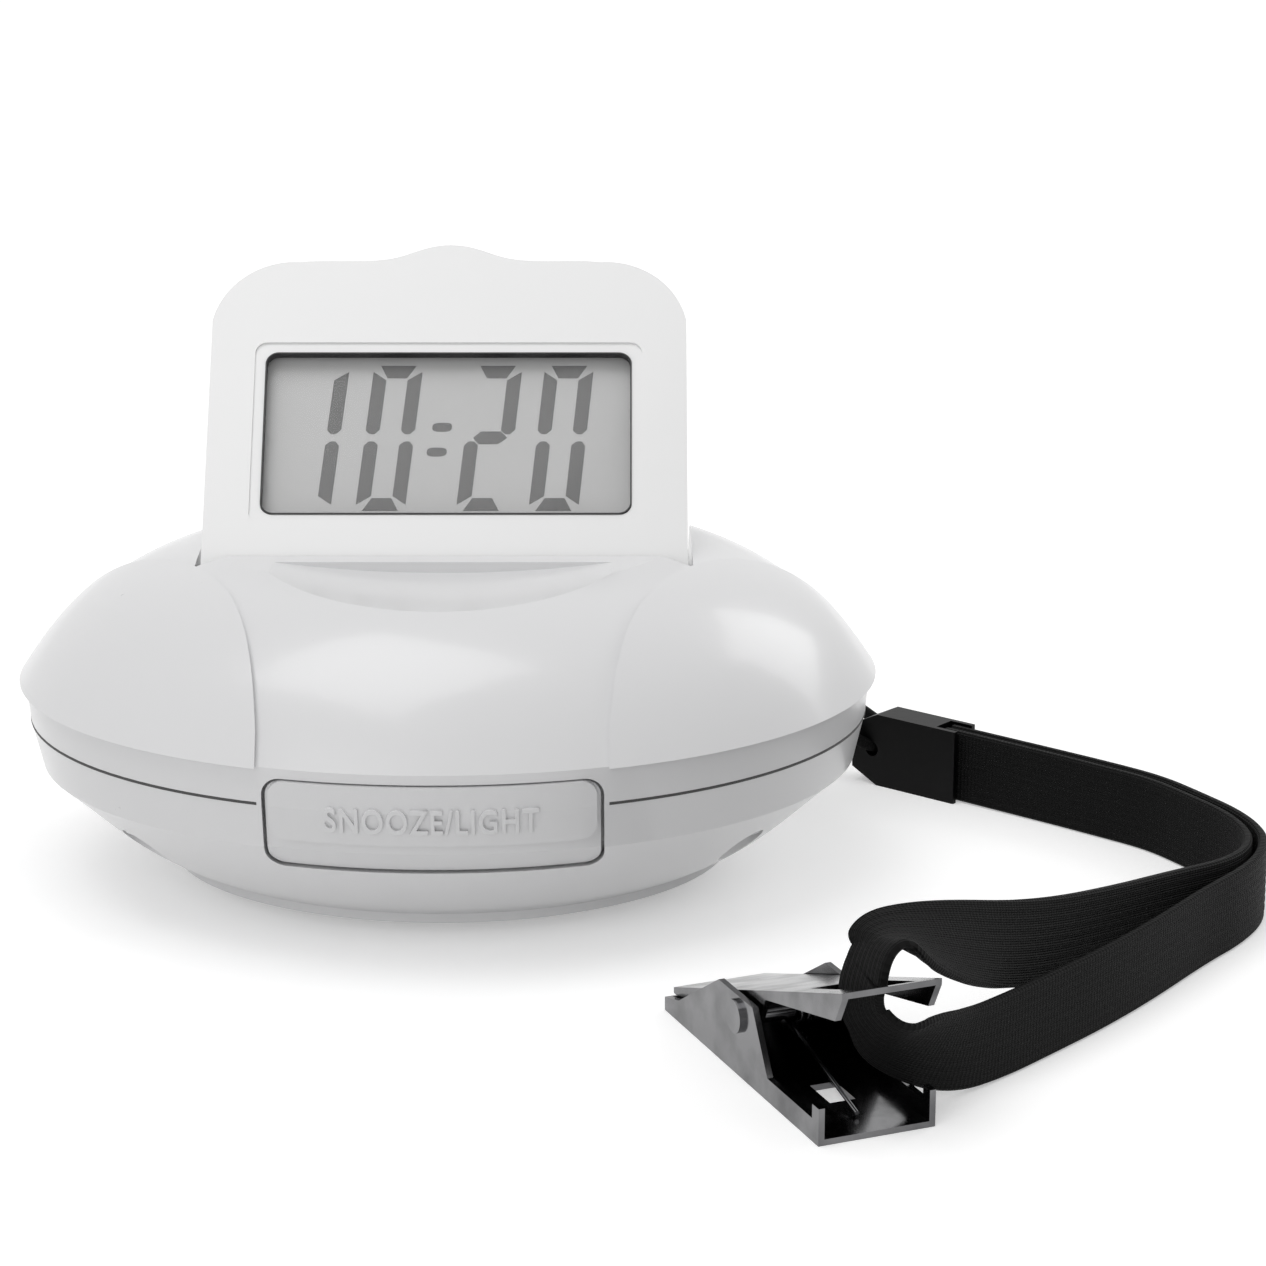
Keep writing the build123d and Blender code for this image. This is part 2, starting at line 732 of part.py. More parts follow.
with BuildPart() as lcd_panel:
    with BuildSketch(display_plane.offset(lcd_front)):
        with Locations(window_centre):
            Rectangle(window_width + 2 * lcd_margin, window_height + 2 * lcd_margin)
    extrude(amount=-lcd_thickness)
save("lcd_panel", lcd_panel.part)

with BuildPart() as backlight_panel:
    with BuildSketch(display_plane.offset(light_front)):
        with Locations(window_centre):
            Rectangle(window_width, window_height - strip_height)
    extrude(amount=-backlight_thickness)
save("backlight_panel", backlight_panel.part)

with BuildPart() as display_board:
    with BuildSketch(display_plane.offset(display_board_front)):
        with Locations(window_centre):
            Rectangle(window_width + 2 * lcd_margin, window_height + 2 * lcd_margin)
    extrude(amount=-display_board_thickness)
save("display_board", display_board.part)

strip_offset = window_height / 2 + lcd_margin - strip_height / 2
with BuildPart() as contact_strips:
    with BuildSketch(display_plane.offset(lcd_front - lcd_thickness)):
        with Locations(*[(0, window_centre[1] + side * strip_offset) for side in (-1, 1)]):
            Rectangle(window_width, strip_height)
    extrude(amount=display_board_front - lcd_front + lcd_thickness)
save("contact_strips", contact_strips.part)

# Snooze bar: a sunk skirt, a proud pad, a flange behind the wall and a stem
proud_form = dome_form(snooze_pad_rise) + bowl_form(snooze_pad_rise)
sunk_form = dome_form(-snooze_skirt_sink) + bowl_form(-snooze_skirt_sink)
flange_front = -wall - slack
flange_form = dome_form(flange_front) + bowl_form(flange_front)
back_form = (dome_form(flange_front - snooze_flange_thickness)
             + bowl_form(flange_front - snooze_flange_thickness))
pad_height = snooze_top - snooze_pad_bottom
snooze_play = snooze_pad_margin / 2
with BuildPart() as pad_block:
    with BuildSketch(front_plane):
        with Locations((0, (snooze_top + snooze_pad_bottom) / 2)):
            RectangleRounded(2 * (snooze_half_width - snooze_pad_margin),
                             pad_height - snooze_play, snooze_corner - snooze_play)
    extrude(amount=overrun)
    add(proud_form, mode=Mode.INTERSECT)

with BuildPart() as skirt_block:
    with BuildSketch(front_plane):
        with Locations((0, snooze_centre)):
            RectangleRounded(2 * (snooze_half_width - snooze_play),
                             snooze_height - snooze_pad_margin, snooze_corner - snooze_play)
    extrude(amount=overrun)
    add(sunk_form, mode=Mode.INTERSECT)

with BuildPart() as flange_block:
    with BuildSketch(front_plane):
        with Locations((0, snooze_centre)):
            Rectangle(2 * (snooze_half_width + snooze_flange), snooze_height + 2 * snooze_flange)
    extrude(amount=overrun)
    add(flange_form, mode=Mode.INTERSECT)

with BuildPart() as snooze_button:
    add(pad_block.part)
    add(skirt_block.part)
    add(flange_block.part)
    add(back_form, mode=Mode.SUBTRACT)
    with BuildSketch(Plane.XZ.offset(snooze_stem_tip)):
        with Locations((0, snooze_centre)):
            Circle(set_stem_radius)
    extrude(amount=body_half_depth + flange_front - snooze_stem_tip)
save("snooze_button", snooze_button.part)

with BuildPart() as snooze_board:
    with BuildSketch(Plane.XZ.offset(-snooze_board_y)):
        with Locations((0, snooze_centre)):
            Rectangle(snooze_board_width, snooze_board_height)
        with Locations(*[(x, snooze_centre) for x in (-snooze_post_x, snooze_post_x)]):
            Circle(small_screw_radius + screw_play, mode=Mode.SUBTRACT)
    extrude(amount=board_thickness)
save("snooze_board", snooze_board.part)

with BuildPart() as snooze_switch:
    with BuildSketch(Plane.XZ.offset(board_thickness - snooze_board_y)):
        with Locations((0, snooze_centre)):
            Rectangle(switch_side, switch_side)
    extrude(amount=switch_height)
    with BuildSketch(Plane.XZ.offset(board_thickness - snooze_board_y + switch_height)):
        with Locations((0, snooze_centre)):
            Circle(switch_well_radius)
    extrude(amount=-switch_well_depth, mode=Mode.SUBTRACT)
save("snooze_switch", snooze_switch.part)

with BuildPart() as snooze_board_screws:
    with BuildSketch(Plane.XZ.offset(board_thickness - snooze_board_y)):
        with Locations(*[(x, snooze_centre) for x in (-snooze_post_x, snooze_post_x)]):
            Circle(small_screw_radius)
    extrude(amount=-small_screw_length)
    with BuildSketch(Plane.XZ.offset(board_thickness - snooze_board_y)):
        with Locations(*[(x, snooze_centre) for x in (-snooze_post_x, snooze_post_x)]):
            Circle(small_screw_head_radius)
    extrude(amount=small_screw_head)
save("snooze_board_screws", snooze_board_screws.part)

# Main board with its chips, switches, screws and the ribbon to the display
board_middle = (board_start + board_end) / 2
board_length = board_end - board_start
with BuildPart() as main_board:
    with BuildSketch(board_plane):
        with Locations((0, board_middle)):
            Rectangle(2 * board_half_width, board_length)
        with Locations(*board_screw_spots):
            Circle(small_screw_radius + screw_play, mode=Mode.SUBTRACT)
    extrude(amount=-board_thickness)
save("main_board", main_board.part)

with BuildPart() as board_chips:
    with BuildSketch(board_plane.offset(-board_thickness)):
        with Locations((0, board_middle)):
            Rectangle(2 * switch_side, 2 * switch_side)
        with Locations((-2 * switch_side - switch_height, board_middle)):
            Rectangle(switch_side, switch_side)
        with Locations((2 * switch_side + switch_height, board_middle)):
            Rectangle(switch_side, switch_height)
    extrude(amount=-switch_height / 2)
save("board_chips", board_chips.part)

switch_spots = [(x, set_row) for x in set_columns]
with BuildPart() as set_switches:
    with BuildSketch(board_plane):
        with Locations(*switch_spots):
            Rectangle(switch_side, switch_side)
    extrude(amount=switch_height)
    with BuildSketch(board_plane.offset(switch_height)):
        with Locations(*switch_spots):
            Circle(switch_well_radius)
    extrude(amount=-switch_well_depth, mode=Mode.SUBTRACT)
save("set_switches", set_switches.part)

button_names = ["time_button", "alarm_button", "hour_button", "minute_button"]
stem_end = board_top + switch_height - switch_well_depth + set_travel + stack_gap
flange_top = floor_under - slack
for name, x in zip(button_names, set_columns):
    with BuildPart() as set_button:
        with BuildSketch(closed_plane.offset(pocket_floor + set_rise)):
            with Locations((x, set_row)):
                Circle(set_radius)
        extrude(amount=flange_top - pocket_floor - set_rise)
        with BuildSketch(closed_plane.offset(flange_top)):
            with Locations((x, set_row)):
                Circle(set_flange_radius)
        extrude(amount=-set_flange)
        with BuildSketch(closed_plane.offset(stem_end)):
            with Locations((x, set_row)):
                Circle(set_stem_radius)
        extrude(amount=flange_top - stem_end)
    save(name, set_button.part)

mode_top = board_top + mode_body_height
with BuildPart() as mode_switch:
    with BuildSketch(board_plane):
        with Locations((0, mode_row)):
            Rectangle(mode_body_length, mode_body_depth)
    extrude(amount=mode_body_height)
    with BuildSketch(board_plane.offset(mode_body_height)):
        with Locations((0, mode_row)):
            Rectangle(mode_travel + switch_height + slack, mode_knob_depth / 2 + slack)
    extrude(amount=-switch_well_depth, mode=Mode.SUBTRACT)
save("mode_switch", mode_switch.part)

with BuildPart() as mode_knob:
    with BuildSketch(closed_plane.offset(pocket_floor + set_rise)):
        with Locations((-mode_travel / 2, mode_row)):
            Rectangle(mode_knob_width, mode_knob_depth)
    extrude(amount=flange_top - pocket_floor - set_rise)
    with BuildSketch(closed_plane.offset(flange_top)):
        with Locations((-mode_travel / 2, mode_row)):
            Rectangle(mode_knob_width + mode_travel, mode_body_depth)
    extrude(amount=-set_flange)
    with BuildSketch(closed_plane.offset(mode_top - switch_well_depth + slack)):
        with Locations((-mode_travel / 2, mode_row)):
            Rectangle(switch_height - slack, mode_knob_depth / 2)
    extrude(amount=flange_top - mode_top + switch_well_depth - slack)
save("mode_knob", mode_knob.part)

with BuildPart() as board_screws:
    with BuildSketch(board_plane):
        with Locations(*board_screw_spots):
            Circle(small_screw_radius)
    extrude(amount=small_screw_length - board_thickness - slack)
    with BuildSketch(board_plane):
        with Locations(*board_screw_spots):
            Circle(small_screw_radius)
    extrude(amount=-board_thickness)
    with BuildSketch(board_plane.offset(-board_thickness)):
        with Locations(*board_screw_spots):
            Circle(small_screw_head_radius)
    extrude(amount=-small_screw_head)
save("board_screws", board_screws.part)

ribbon_side = Plane(origin=closed_plane.from_local_coords((-ribbon_half_width, 0, 0)),
                    x_dir=closed_plane.y_dir, z_dir=closed_plane.x_dir)
with BuildPart() as display_ribbon:
    with BuildSketch(ribbon_side):
        with Locations((0, (board_top + floor_under + wall) / 2 + ribbon_thickness)):
            Rectangle(ribbon_thickness, floor_under + wall - board_top)
        with Locations((board_start / 2 + ribbon_lap, board_top + ribbon_thickness / 2 + stack_gap)):
            Rectangle(board_start + ribbon_reach, ribbon_thickness)
    extrude(amount=2 * ribbon_half_width)
save("display_ribbon", display_ribbon.part)

# Buzzer, vibration motor, clamp, shaft and eccentric weight
with BuildPart() as buzzer:
    with BuildSketch(Plane.XY.offset(buzzer_seat_height)):
        with Locations((buzzer_x, 0)):
            Circle(buzzer_radius)
    extrude(amount=buzzer_height)
    with BuildSketch(Plane.XY.offset(buzzer_seat_height + buzzer_height)):
        with Locations((buzzer_x, 0)):
            Circle(buzzer_port_radius)
    extrude(amount=-buzzer_height / 2, mode=Mode.SUBTRACT)
save("buzzer", buzzer.part)

motor_back_y = motor_front_y + motor_length
weight_front_y = motor_front_y - weight_gap
shaft_end_y = weight_front_y - weight_length - slack
with BuildPart() as vibration_motor:
    with BuildSketch(Plane.XZ.offset(-motor_back_y)):
        with Locations((motor_x, motor_height)):
            Circle(motor_radius)
    extrude(amount=motor_length)
    with BuildSketch(Plane.XZ.offset(-motor_front_y)):
        with Locations((motor_x, motor_height)):
            Circle(motor_nose_radius)
    extrude(amount=motor_nose_length)
    with BuildSketch(Plane.XZ.offset(-motor_front_y - shaft_entry)):
        with Locations((motor_x, motor_height)):
            Circle(shaft_radius + shaft_play)
    extrude(amount=shaft_entry + motor_nose_length, mode=Mode.SUBTRACT)
save("vibration_motor", vibration_motor.part)

with BuildPart() as motor_shaft:
    with BuildSketch(Plane.XZ.offset(-motor_front_y - shaft_entry + slack)):
        with Locations((motor_x, motor_height)):
            Circle(shaft_radius)
    extrude(amount=motor_front_y + shaft_entry - slack - shaft_end_y)
save("motor_shaft", motor_shaft.part)

with BuildPart() as eccentric_weight:
    with BuildSketch(Plane.XZ.offset(-weight_front_y)):
        with Locations((motor_x, motor_height)):
            Circle(weight_radius)
        with Locations((motor_x, motor_height + weight_radius)):
            Rectangle(2 * weight_radius, 2 * weight_radius, mode=Mode.SUBTRACT)
        with Locations((motor_x, motor_height)):
            Circle(weight_hub_radius)
            Circle(shaft_radius, mode=Mode.SUBTRACT)
    extrude(amount=weight_length)
save("eccentric_weight", eccentric_weight.part)

cradle_back_y = motor_front_y + (motor_length + cradle_length) / 2
clamp_spots = [(motor_x + side, motor_front_y + motor_length / 2)
               for side in (-clamp_screw_offset, clamp_screw_offset)]
with BuildPart() as motor_clamp:
    with BuildSketch(Plane.XZ.offset(-cradle_back_y)):
        with Locations((motor_x, motor_height)):
            Circle(motor_radius + clamp_thickness)
        with Locations((motor_x, motor_height + clamp_thickness / 2)):
            Rectangle(2 * cradle_half_width, clamp_thickness)
        with Locations((motor_x, motor_height)):
            Circle(motor_radius, mode=Mode.SUBTRACT)
        with Locations((motor_x, motor_height - cradle_length / 2)):
            Rectangle(2 * cradle_length, cradle_length, mode=Mode.SUBTRACT)
    extrude(amount=cradle_length)
    with BuildSketch(Plane.XY.offset(motor_height)):
        with Locations(*clamp_spots):
            Circle(small_screw_radius + screw_play)
    extrude(amount=clamp_thickness, mode=Mode.SUBTRACT)
save("motor_clamp", motor_clamp.part)

with BuildPart() as clamp_screws:
    with BuildSketch(Plane.XY.offset(motor_height + clamp_thickness)):
        with Locations(*clamp_spots):
            Circle(small_screw_radius)
    extrude(amount=slack - small_screw_length)
    with BuildSketch(Plane.XY.offset(motor_height + clamp_thickness)):
        with Locations(*clamp_spots):
            Circle(small_screw_head_radius)
    extrude(amount=small_screw_head)
save("clamp_screws", clamp_screws.part)

# Battery cells, their contacts and the hinged door
cell_height = cell_floor + cell_radius
with BuildPart() as battery_cells:
    for side in (-1, 1):
        cell_end = -side * (bay_half_length - contact_thickness - cell_button_length)
        with BuildSketch(Plane.YZ.offset(cell_end)):
            with Locations((side * cell_pitch / 2, cell_height)):
                Circle(cell_radius)
        extrude(amount=side * cell_body_length)
        with BuildSketch(Plane.YZ.offset(cell_end)):
            with Locations((side * cell_pitch / 2, cell_height)):
                Circle(cell_button_radius)
        extrude(amount=-side * cell_button_length)
save("battery_cells", battery_cells.part)

with BuildPart() as battery_plates:
    with BuildSketch(Plane.YZ.offset(-bay_half_length)):
        with Locations((0, cell_height)):
            Rectangle(cell_pitch + 2 * contact_half_width, 2 * contact_half_width)
    extrude(amount=contact_thickness)
    with BuildSketch(Plane.YZ.offset(bay_half_length)):
        with Locations((-cell_pitch / 2, cell_height), (cell_pitch / 2, cell_height)):
            Rectangle(2 * contact_half_width, 2 * contact_half_width)
    extrude(amount=-contact_thickness)
save("battery_plates", battery_plates.part)

spring_height = spring_room - spring_wire - slack
spring_solids = []
for side in (-1, 1):
    spring_start = side * (bay_half_length - contact_thickness - spring_wire / 2 - slack / 2)
    coil = Helix(spring_height / spring_turns, spring_height, spring_radius)
    placed = Plane(origin=(spring_start, side * cell_pitch / 2, cell_height), z_dir=(-side, 0, 0))
    coil_path = placed * coil
    wire_face = Plane(origin=coil_path @ 0, z_dir=coil_path % 0) * Circle(spring_wire / 2)
    spring_solids.append(sweep(wire_face, path=coil_path, is_frenet=True).solid())
save("battery_springs", Part(children=spring_solids))

door_nose = (door_top - door_lift - slack) / 2
with BuildPart() as battery_door:
    with BuildSketch(Plane.XY.offset(door_lift)):
        RectangleRounded(2 * door_half_length, 2 * door_half_width, door_round)
    extrude(amount=door_top - door_lift - slack)
    with BuildSketch(Plane.XZ):
        with Locations((door_half_length - door_nose, door_lift + door_nose)):
            Circle(door_nose)
        with Locations((-door_nose, door_lift + door_nose)):
            Rectangle(2 * door_half_length, 2 * door_nose)
    extrude(amount=2 * door_half_width, both=True, mode=Mode.INTERSECT)
    add(foot_form.part, mode=Mode.INTERSECT)
save("battery_door", battery_door.part)

with BuildPart() as shell_screws:
    with BuildSketch(Plane.XY.offset(shell_screw_seat)):
        with Locations(*shell_screw_spots):
            Circle(shell_screw_radius)
    extrude(amount=seam_height + shell_screw_grip - slack - shell_screw_seat)
    with BuildSketch(Plane.XY.offset(shell_screw_seat)):
        with Locations(*shell_screw_spots):
            Circle(shell_screw_head_radius)
    extrude(amount=-shell_screw_head)
save("shell_screws", shell_screws.part)


def run_path(points):
    # straight runs joined by arcs, as one wire
    route = [Vector(*p) for p in points]
    with BuildLine() as wire:
        start = route[0]
        for a, b, c in zip(route[:-2], route[1:-1], route[2:]):
            before, after = b - a, c - b
            trim = corner_share * min(before.length, after.length)
            enter, leave = b - before.normalized() * trim, b + after.normalized() * trim
            half_turn = radians(before.get_angle(after)) / 2
            bulge = trim / sin(half_turn) * (1 - cos(half_turn))
            middle = b + (after.normalized() - before.normalized()).normalized() * bulge
            Line(start, enter)
            ThreePointArc(enter, middle, leave)
            start = leave
        Line(start, route[-1])
    return wire.line


def clip_point(along, across, height):
    # a point in the clip's own frame, from its tip
    return clip_tip + clip_along * along + clip_across * across + Vector(0, 0, height)


# Clip frame: along the jaws, across them, and up
turn = radians(clip_turn)
clip_tip = Vector(clip_tip_x, clip_tip_y, 0)
clip_along = Vector(sin(turn), -cos(turn), 0)
clip_across = Vector(cos(turn), sin(turn), 0)
clip_side = Plane(origin=clip_tip, x_dir=clip_along, z_dir=-clip_across)
clip_plan = Plane(origin=clip_tip, x_dir=clip_along, z_dir=(0, 0, 1))
plate_slope = (bar_height - tip_height) / handle_length
plate_pivot = tip_height + plate_slope * pivot_from_tip

# Lower jaw: a channel flat on the table, with curled tabs at its rear corners
with BuildPart() as clip_lower_jaw:
    with BuildSketch(clip_side):
        with BuildLine():
            Polyline([(0, 0), (0, lip_height), (cheek_start, cheek_low), (cheek_rise, cheek_height),
                      (cheek_end, cheek_height), (cheek_drop, cheek_low), (clip_length, cheek_low),
                      (clip_length, 0), (0, 0)])
        make_face()
    extrude(amount=clip_width / 2, both=True)
    with BuildSketch(clip_side):
        with Locations((sheet + clip_length / 2, sheet + cheek_height / 2)):
            Rectangle(clip_length, cheek_height)
    extrude(amount=clip_width / 2 - sheet, both=True, mode=Mode.SUBTRACT)
    with BuildSketch(clip_plan):
        with Locations((tongue_from_tip, 0)):
            Rectangle(tongue_length, tongue_width)
    extrude(amount=sheet, mode=Mode.SUBTRACT)
    with BuildSketch(clip_side):
        with Locations((pivot_from_tip, pivot_height)):
            Circle(rivet_radius)
    extrude(amount=clip_width, both=True, mode=Mode.SUBTRACT)
    with BuildSketch(clip_plan):
        with Locations(*[(clip_length - tab_length / 2, side * (clip_width - sheet) / 2)
                         for side in (-1, 1)]):
            Rectangle(tab_length, sheet)
    extrude(amount=tab_rise)
save("clip_lower_jaw", clip_lower_jaw.part)

# Upper jaw: an inverted channel that is one piece with its slotted handle
upper_half = upper_width / 2
with BuildPart() as clip_upper_jaw:
    with BuildSketch(clip_side):
        with BuildLine():
            Polyline([(0, tip_height), (handle_length, bar_height), (handle_length, bar_height - sheet),
                      (flange_end, bar_height - handle_flange),
                      (flange_bend, plate_pivot + sheet), (pivot_from_tip + rivet_head_radius, flange_foot),
                      (pivot_from_tip - rivet_head_radius, flange_foot), (flange_start, tip_height + sheet),
                      (sheet, tip_height - tip_drop), (0, tip_height - tip_drop), (0, tip_height)])
        make_face()
    extrude(amount=upper_half, both=True)
    with BuildSketch(clip_side):
        with BuildLine():
            Polyline([(sheet, 0), (sheet, tip_height - sheet + sheet * plate_slope),
                      (overrun * 2, tip_height - sheet + plate_slope * overrun * 2),
                      (overrun * 2, 0), (sheet, 0)])
        make_face()
    extrude(amount=upper_half - sheet, both=True, mode=Mode.SUBTRACT)
    with BuildSketch(clip_plan):
        with Locations((handle_length - slot_edge - slot_length / 2, 0)):
            Rectangle(slot_length, slot_width)
    extrude(amount=bar_height + sheet, mode=Mode.SUBTRACT)
    with BuildSketch(clip_side):
        with Locations((pivot_from_tip, pivot_height)):
            Circle(rivet_radius + rivet_play)
    extrude(amount=clip_width, both=True, mode=Mode.SUBTRACT)
save("clip_upper_jaw", clip_upper_jaw.part)

with BuildPart() as clip_rivet:
    with BuildSketch(clip_side):
        with Locations((pivot_from_tip, pivot_height)):
            Circle(rivet_radius)
    extrude(amount=clip_width / 2 + rivet_head, both=True)
    for side in (-1, 1):
        with BuildSketch(clip_side.offset(side * clip_width / 2)):
            with Locations((pivot_from_tip, pivot_height)):
                Circle(rivet_head_radius)
        extrude(amount=side * rivet_head)
save("clip_rivet", clip_rivet.part)

# Torsion spring: a coil round the rivet, one leg on the floor and one under the handle
coil_height = coil_pitch * coil_turns
coil_path = (Plane(origin=clip_point(pivot_from_tip, coil_start, pivot_height),
                   x_dir=(0, 0, -1), z_dir=clip_across)
             * Helix(coil_pitch, coil_height, coil_radius))
coil_profile = Plane(origin=coil_path @ 0, z_dir=coil_path % 0) * Circle(coil_wire / 2)
coil = sweep(coil_profile, path=coil_path, is_frenet=True)
coil_tail = Vector(*(coil_path @ 1))
floor_end = clip_point(leg_reach, coil_start, sheet + coil_wire)
top_end = clip_point(leg_top_reach, coil_start + coil_height,
                     tip_height + plate_slope * leg_top_reach - sheet - coil_wire)
legs = []
for a, b in ((Vector(*(coil_path @ 0)), floor_end), (coil_tail, top_end)):
    leg_face = Plane(origin=a, z_dir=b - a) * Circle(coil_wire / 2)
    legs.append(extrude(leg_face, amount=(b - a).length))
save("clip_spring", coil + legs[0] + legs[1])


def band_loft(stations):
    # a flat band through rectangles, each with its centre and its width direction
    centres = [Vector(*s[0]) for s in stations]
    with BuildPart() as band:
        for i, (centre, across) in enumerate(stations):
            ahead = centres[min(i + 1, len(centres) - 1)] - centres[max(i - 1, 0)]
            width = clip_along * across[0] + Vector(0, 0, across[1])
            with BuildSketch(Plane(origin=centre, x_dir=width, z_dir=ahead)):
                Rectangle(band_width, band_thickness)
        loft(ruled=True)
    return band.part


# Strap: one woven band folded in two, as its outer and its inner layer
save("strap_back_layer", band_loft(outer_stations))
save("strap_front_layer", band_loft(inner_stations))

# End cap crimped on the two ends of the band, with the hole for the lanyard cord
cap_turn = radians(cap_heading)
cap_side = Plane(origin=(cap_x, cap_y, 0), x_dir=(cos(cap_turn), -sin(cap_turn), 0),
                 z_dir=(-sin(cap_turn), -cos(cap_turn), 0))
with BuildPart() as strap_end_cap:
    with BuildSketch(cap_side):
        with BuildLine():
            Polyline([(0, cap_chamfer), (0, cap_height - cap_chamfer), (cap_slope, cap_height),
                      (cap_length, cap_height), (cap_length, 0), (cap_slope, 0), (0, cap_chamfer)])
        make_face()
    extrude(amount=cap_thickness / 2, both=True)
    with BuildSketch(cap_side):
        with Locations((cap_length, cap_height / 2)):
            Rectangle(2 * cap_entry, band_width + 2 * band_clearance)
    extrude(amount=cap_mouth / 2, both=True, mode=Mode.SUBTRACT)
    with BuildSketch(cap_side):
        with Locations((cap_hole, cap_height / 2)):
            Circle(cord_radius + band_clearance)
    extrude(amount=cap_thickness, both=True, mode=Mode.SUBTRACT)
save("strap_end_cap", strap_end_cap.part)

# Lanyard cord: from the cap round the steel pin and back to the cap
cord_route = run_path(cord_points)
with BuildPart() as lanyard_cord:
    with BuildSketch(Plane(origin=cord_route @ 0, z_dir=cord_route % 0)):
        Circle(cord_radius)
    sweep(path=cord_route)
save("lanyard_cord", lanyard_cord.part)
print("cord length", sum(edge.length for edge in cord_route.edges()))
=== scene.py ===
import json
import math

import bmesh
import bpy
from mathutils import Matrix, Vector


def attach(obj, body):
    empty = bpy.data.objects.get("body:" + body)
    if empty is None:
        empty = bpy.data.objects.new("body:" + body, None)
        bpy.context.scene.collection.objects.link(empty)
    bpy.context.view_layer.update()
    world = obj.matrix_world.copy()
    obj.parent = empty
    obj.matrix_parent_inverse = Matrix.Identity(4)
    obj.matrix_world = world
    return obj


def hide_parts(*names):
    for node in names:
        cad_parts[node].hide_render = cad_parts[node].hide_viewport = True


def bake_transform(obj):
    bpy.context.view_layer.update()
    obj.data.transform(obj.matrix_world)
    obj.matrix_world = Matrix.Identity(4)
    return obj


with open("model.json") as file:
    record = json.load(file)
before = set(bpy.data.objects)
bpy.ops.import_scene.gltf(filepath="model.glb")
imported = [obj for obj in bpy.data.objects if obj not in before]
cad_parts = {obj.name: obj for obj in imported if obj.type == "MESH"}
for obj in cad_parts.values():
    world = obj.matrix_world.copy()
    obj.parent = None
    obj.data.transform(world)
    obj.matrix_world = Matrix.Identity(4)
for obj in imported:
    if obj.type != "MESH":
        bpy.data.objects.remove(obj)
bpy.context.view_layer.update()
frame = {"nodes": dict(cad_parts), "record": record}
nodes = frame["nodes"]
print("frame loaded,", len(nodes), "nodes")
mm = 0.001


def addObject(name, data):
    thing = bpy.data.objects.new(name, data)
    bpy.context.collection.objects.link(thing)
    return thing


# camera, as the photo was taken: low, in front and a little to the right
camera = {"place": (23.0, -431.2, 154.8), "tiltDeg": 73.9, "lens": 102.24, "sensor": 36.0,
          "nearest": 0.01, "farthest": 20}
cameraData = bpy.data.cameras.new("photoCamera")
cameraData.lens = camera["lens"]
cameraData.sensor_width = camera["sensor"]
cameraData.clip_start = camera["nearest"]
cameraData.clip_end = camera["farthest"]
cameraObject = addObject("photoCamera", cameraData)
cameraObject.location = [v * mm for v in camera["place"]]
cameraObject.rotation_euler = (math.radians(camera["tiltDeg"]), 0, 0)
bpy.context.scene.camera = cameraObject
print("camera")


def meshFrom(name, points, faces, smooth=True):
    mesh = bpy.data.meshes.new(name)
    mesh.from_pydata([Vector(p) for p in points], [], faces)
    mesh.validate()
    for face in mesh.polygons:
        face.use_smooth = smooth
    mesh.update()
    return mesh


def prismMesh(name, pairs):
    # flat-ended solids, each from an upper and a lower outline with as many corners
    points, faces = [], []
    for upper, lower in pairs:
        first, n = len(points), len(upper)
        points += upper + lower
        faces.append(tuple(first + i for i in range(n)))
        faces.append(tuple(first + n + i for i in reversed(range(n))))
        faces += [(first + i, first + n + i, first + n + (i + 1) % n, first + (i + 1) % n) for i in range(n)]
    mesh = meshFrom(name, points, faces, smooth=False)
    bm = bmesh.new()
    bm.from_mesh(mesh)
    bmesh.ops.recalc_face_normals(bm, faces=bm.faces[:])
    bm.to_mesh(mesh)
    bm.free()
    return mesh


def readLine(name, points, steps):
    # a smooth line with the route's points as control points, read back as Blender draws it
    data = bpy.data.curves.new(name, "CURVE")
    data.dimensions = "3D"
    data.resolution_u = steps
    spline = data.splines.new("NURBS")
    spline.points.add(len(points) - 1)
    for spot, point in zip(spline.points, points):
        spot.co = (*[v * mm for v in point], 1)
    spline.order_u = 3
    spline.use_endpoint_u = True
    holder = addObject(name, data)
    mesh = bpy.data.meshes.new_from_object(holder)
    line = [v.co.copy() for v in mesh.vertices]
    bpy.data.objects.remove(holder)
    bpy.data.meshes.remove(mesh)
    return line


def runAlong(line):
    # how far each point lies from the line's start
    rows = [0.0]
    for a, b in zip(line, line[1:]):
        rows.append(rows[-1] + (b - a).length)
    return rows


def wayAt(line, i):
    # the line's direction at one of its points
    return (line[min(i + 1, len(line) - 1)] - line[max(i - 1, 0)]).normalized()


def tubeFaces(rings, sides):
    # faces between neighbouring rings of points, and one on each end
    faces = []
    for first in range(0, (rings - 1) * sides, sides):
        for c in range(sides):
            after = (c + 1) % sides
            faces.append((first + c, first + after, first + sides + after, first + sides + c))
    last = (rings - 1) * sides
    return faces + [tuple(reversed(range(sides))), tuple(range(last, last + sides))]


def layWeave(mesh, widths, rows):
    # where each corner lies across and along the weave, in metres
    layer = mesh.uv_layers.new(name="weave")
    for loop in mesh.loops:
        row, column = divmod(loop.vertex_index, len(widths))
        layer.data[loop.index].uv = (widths[column], rows[row])


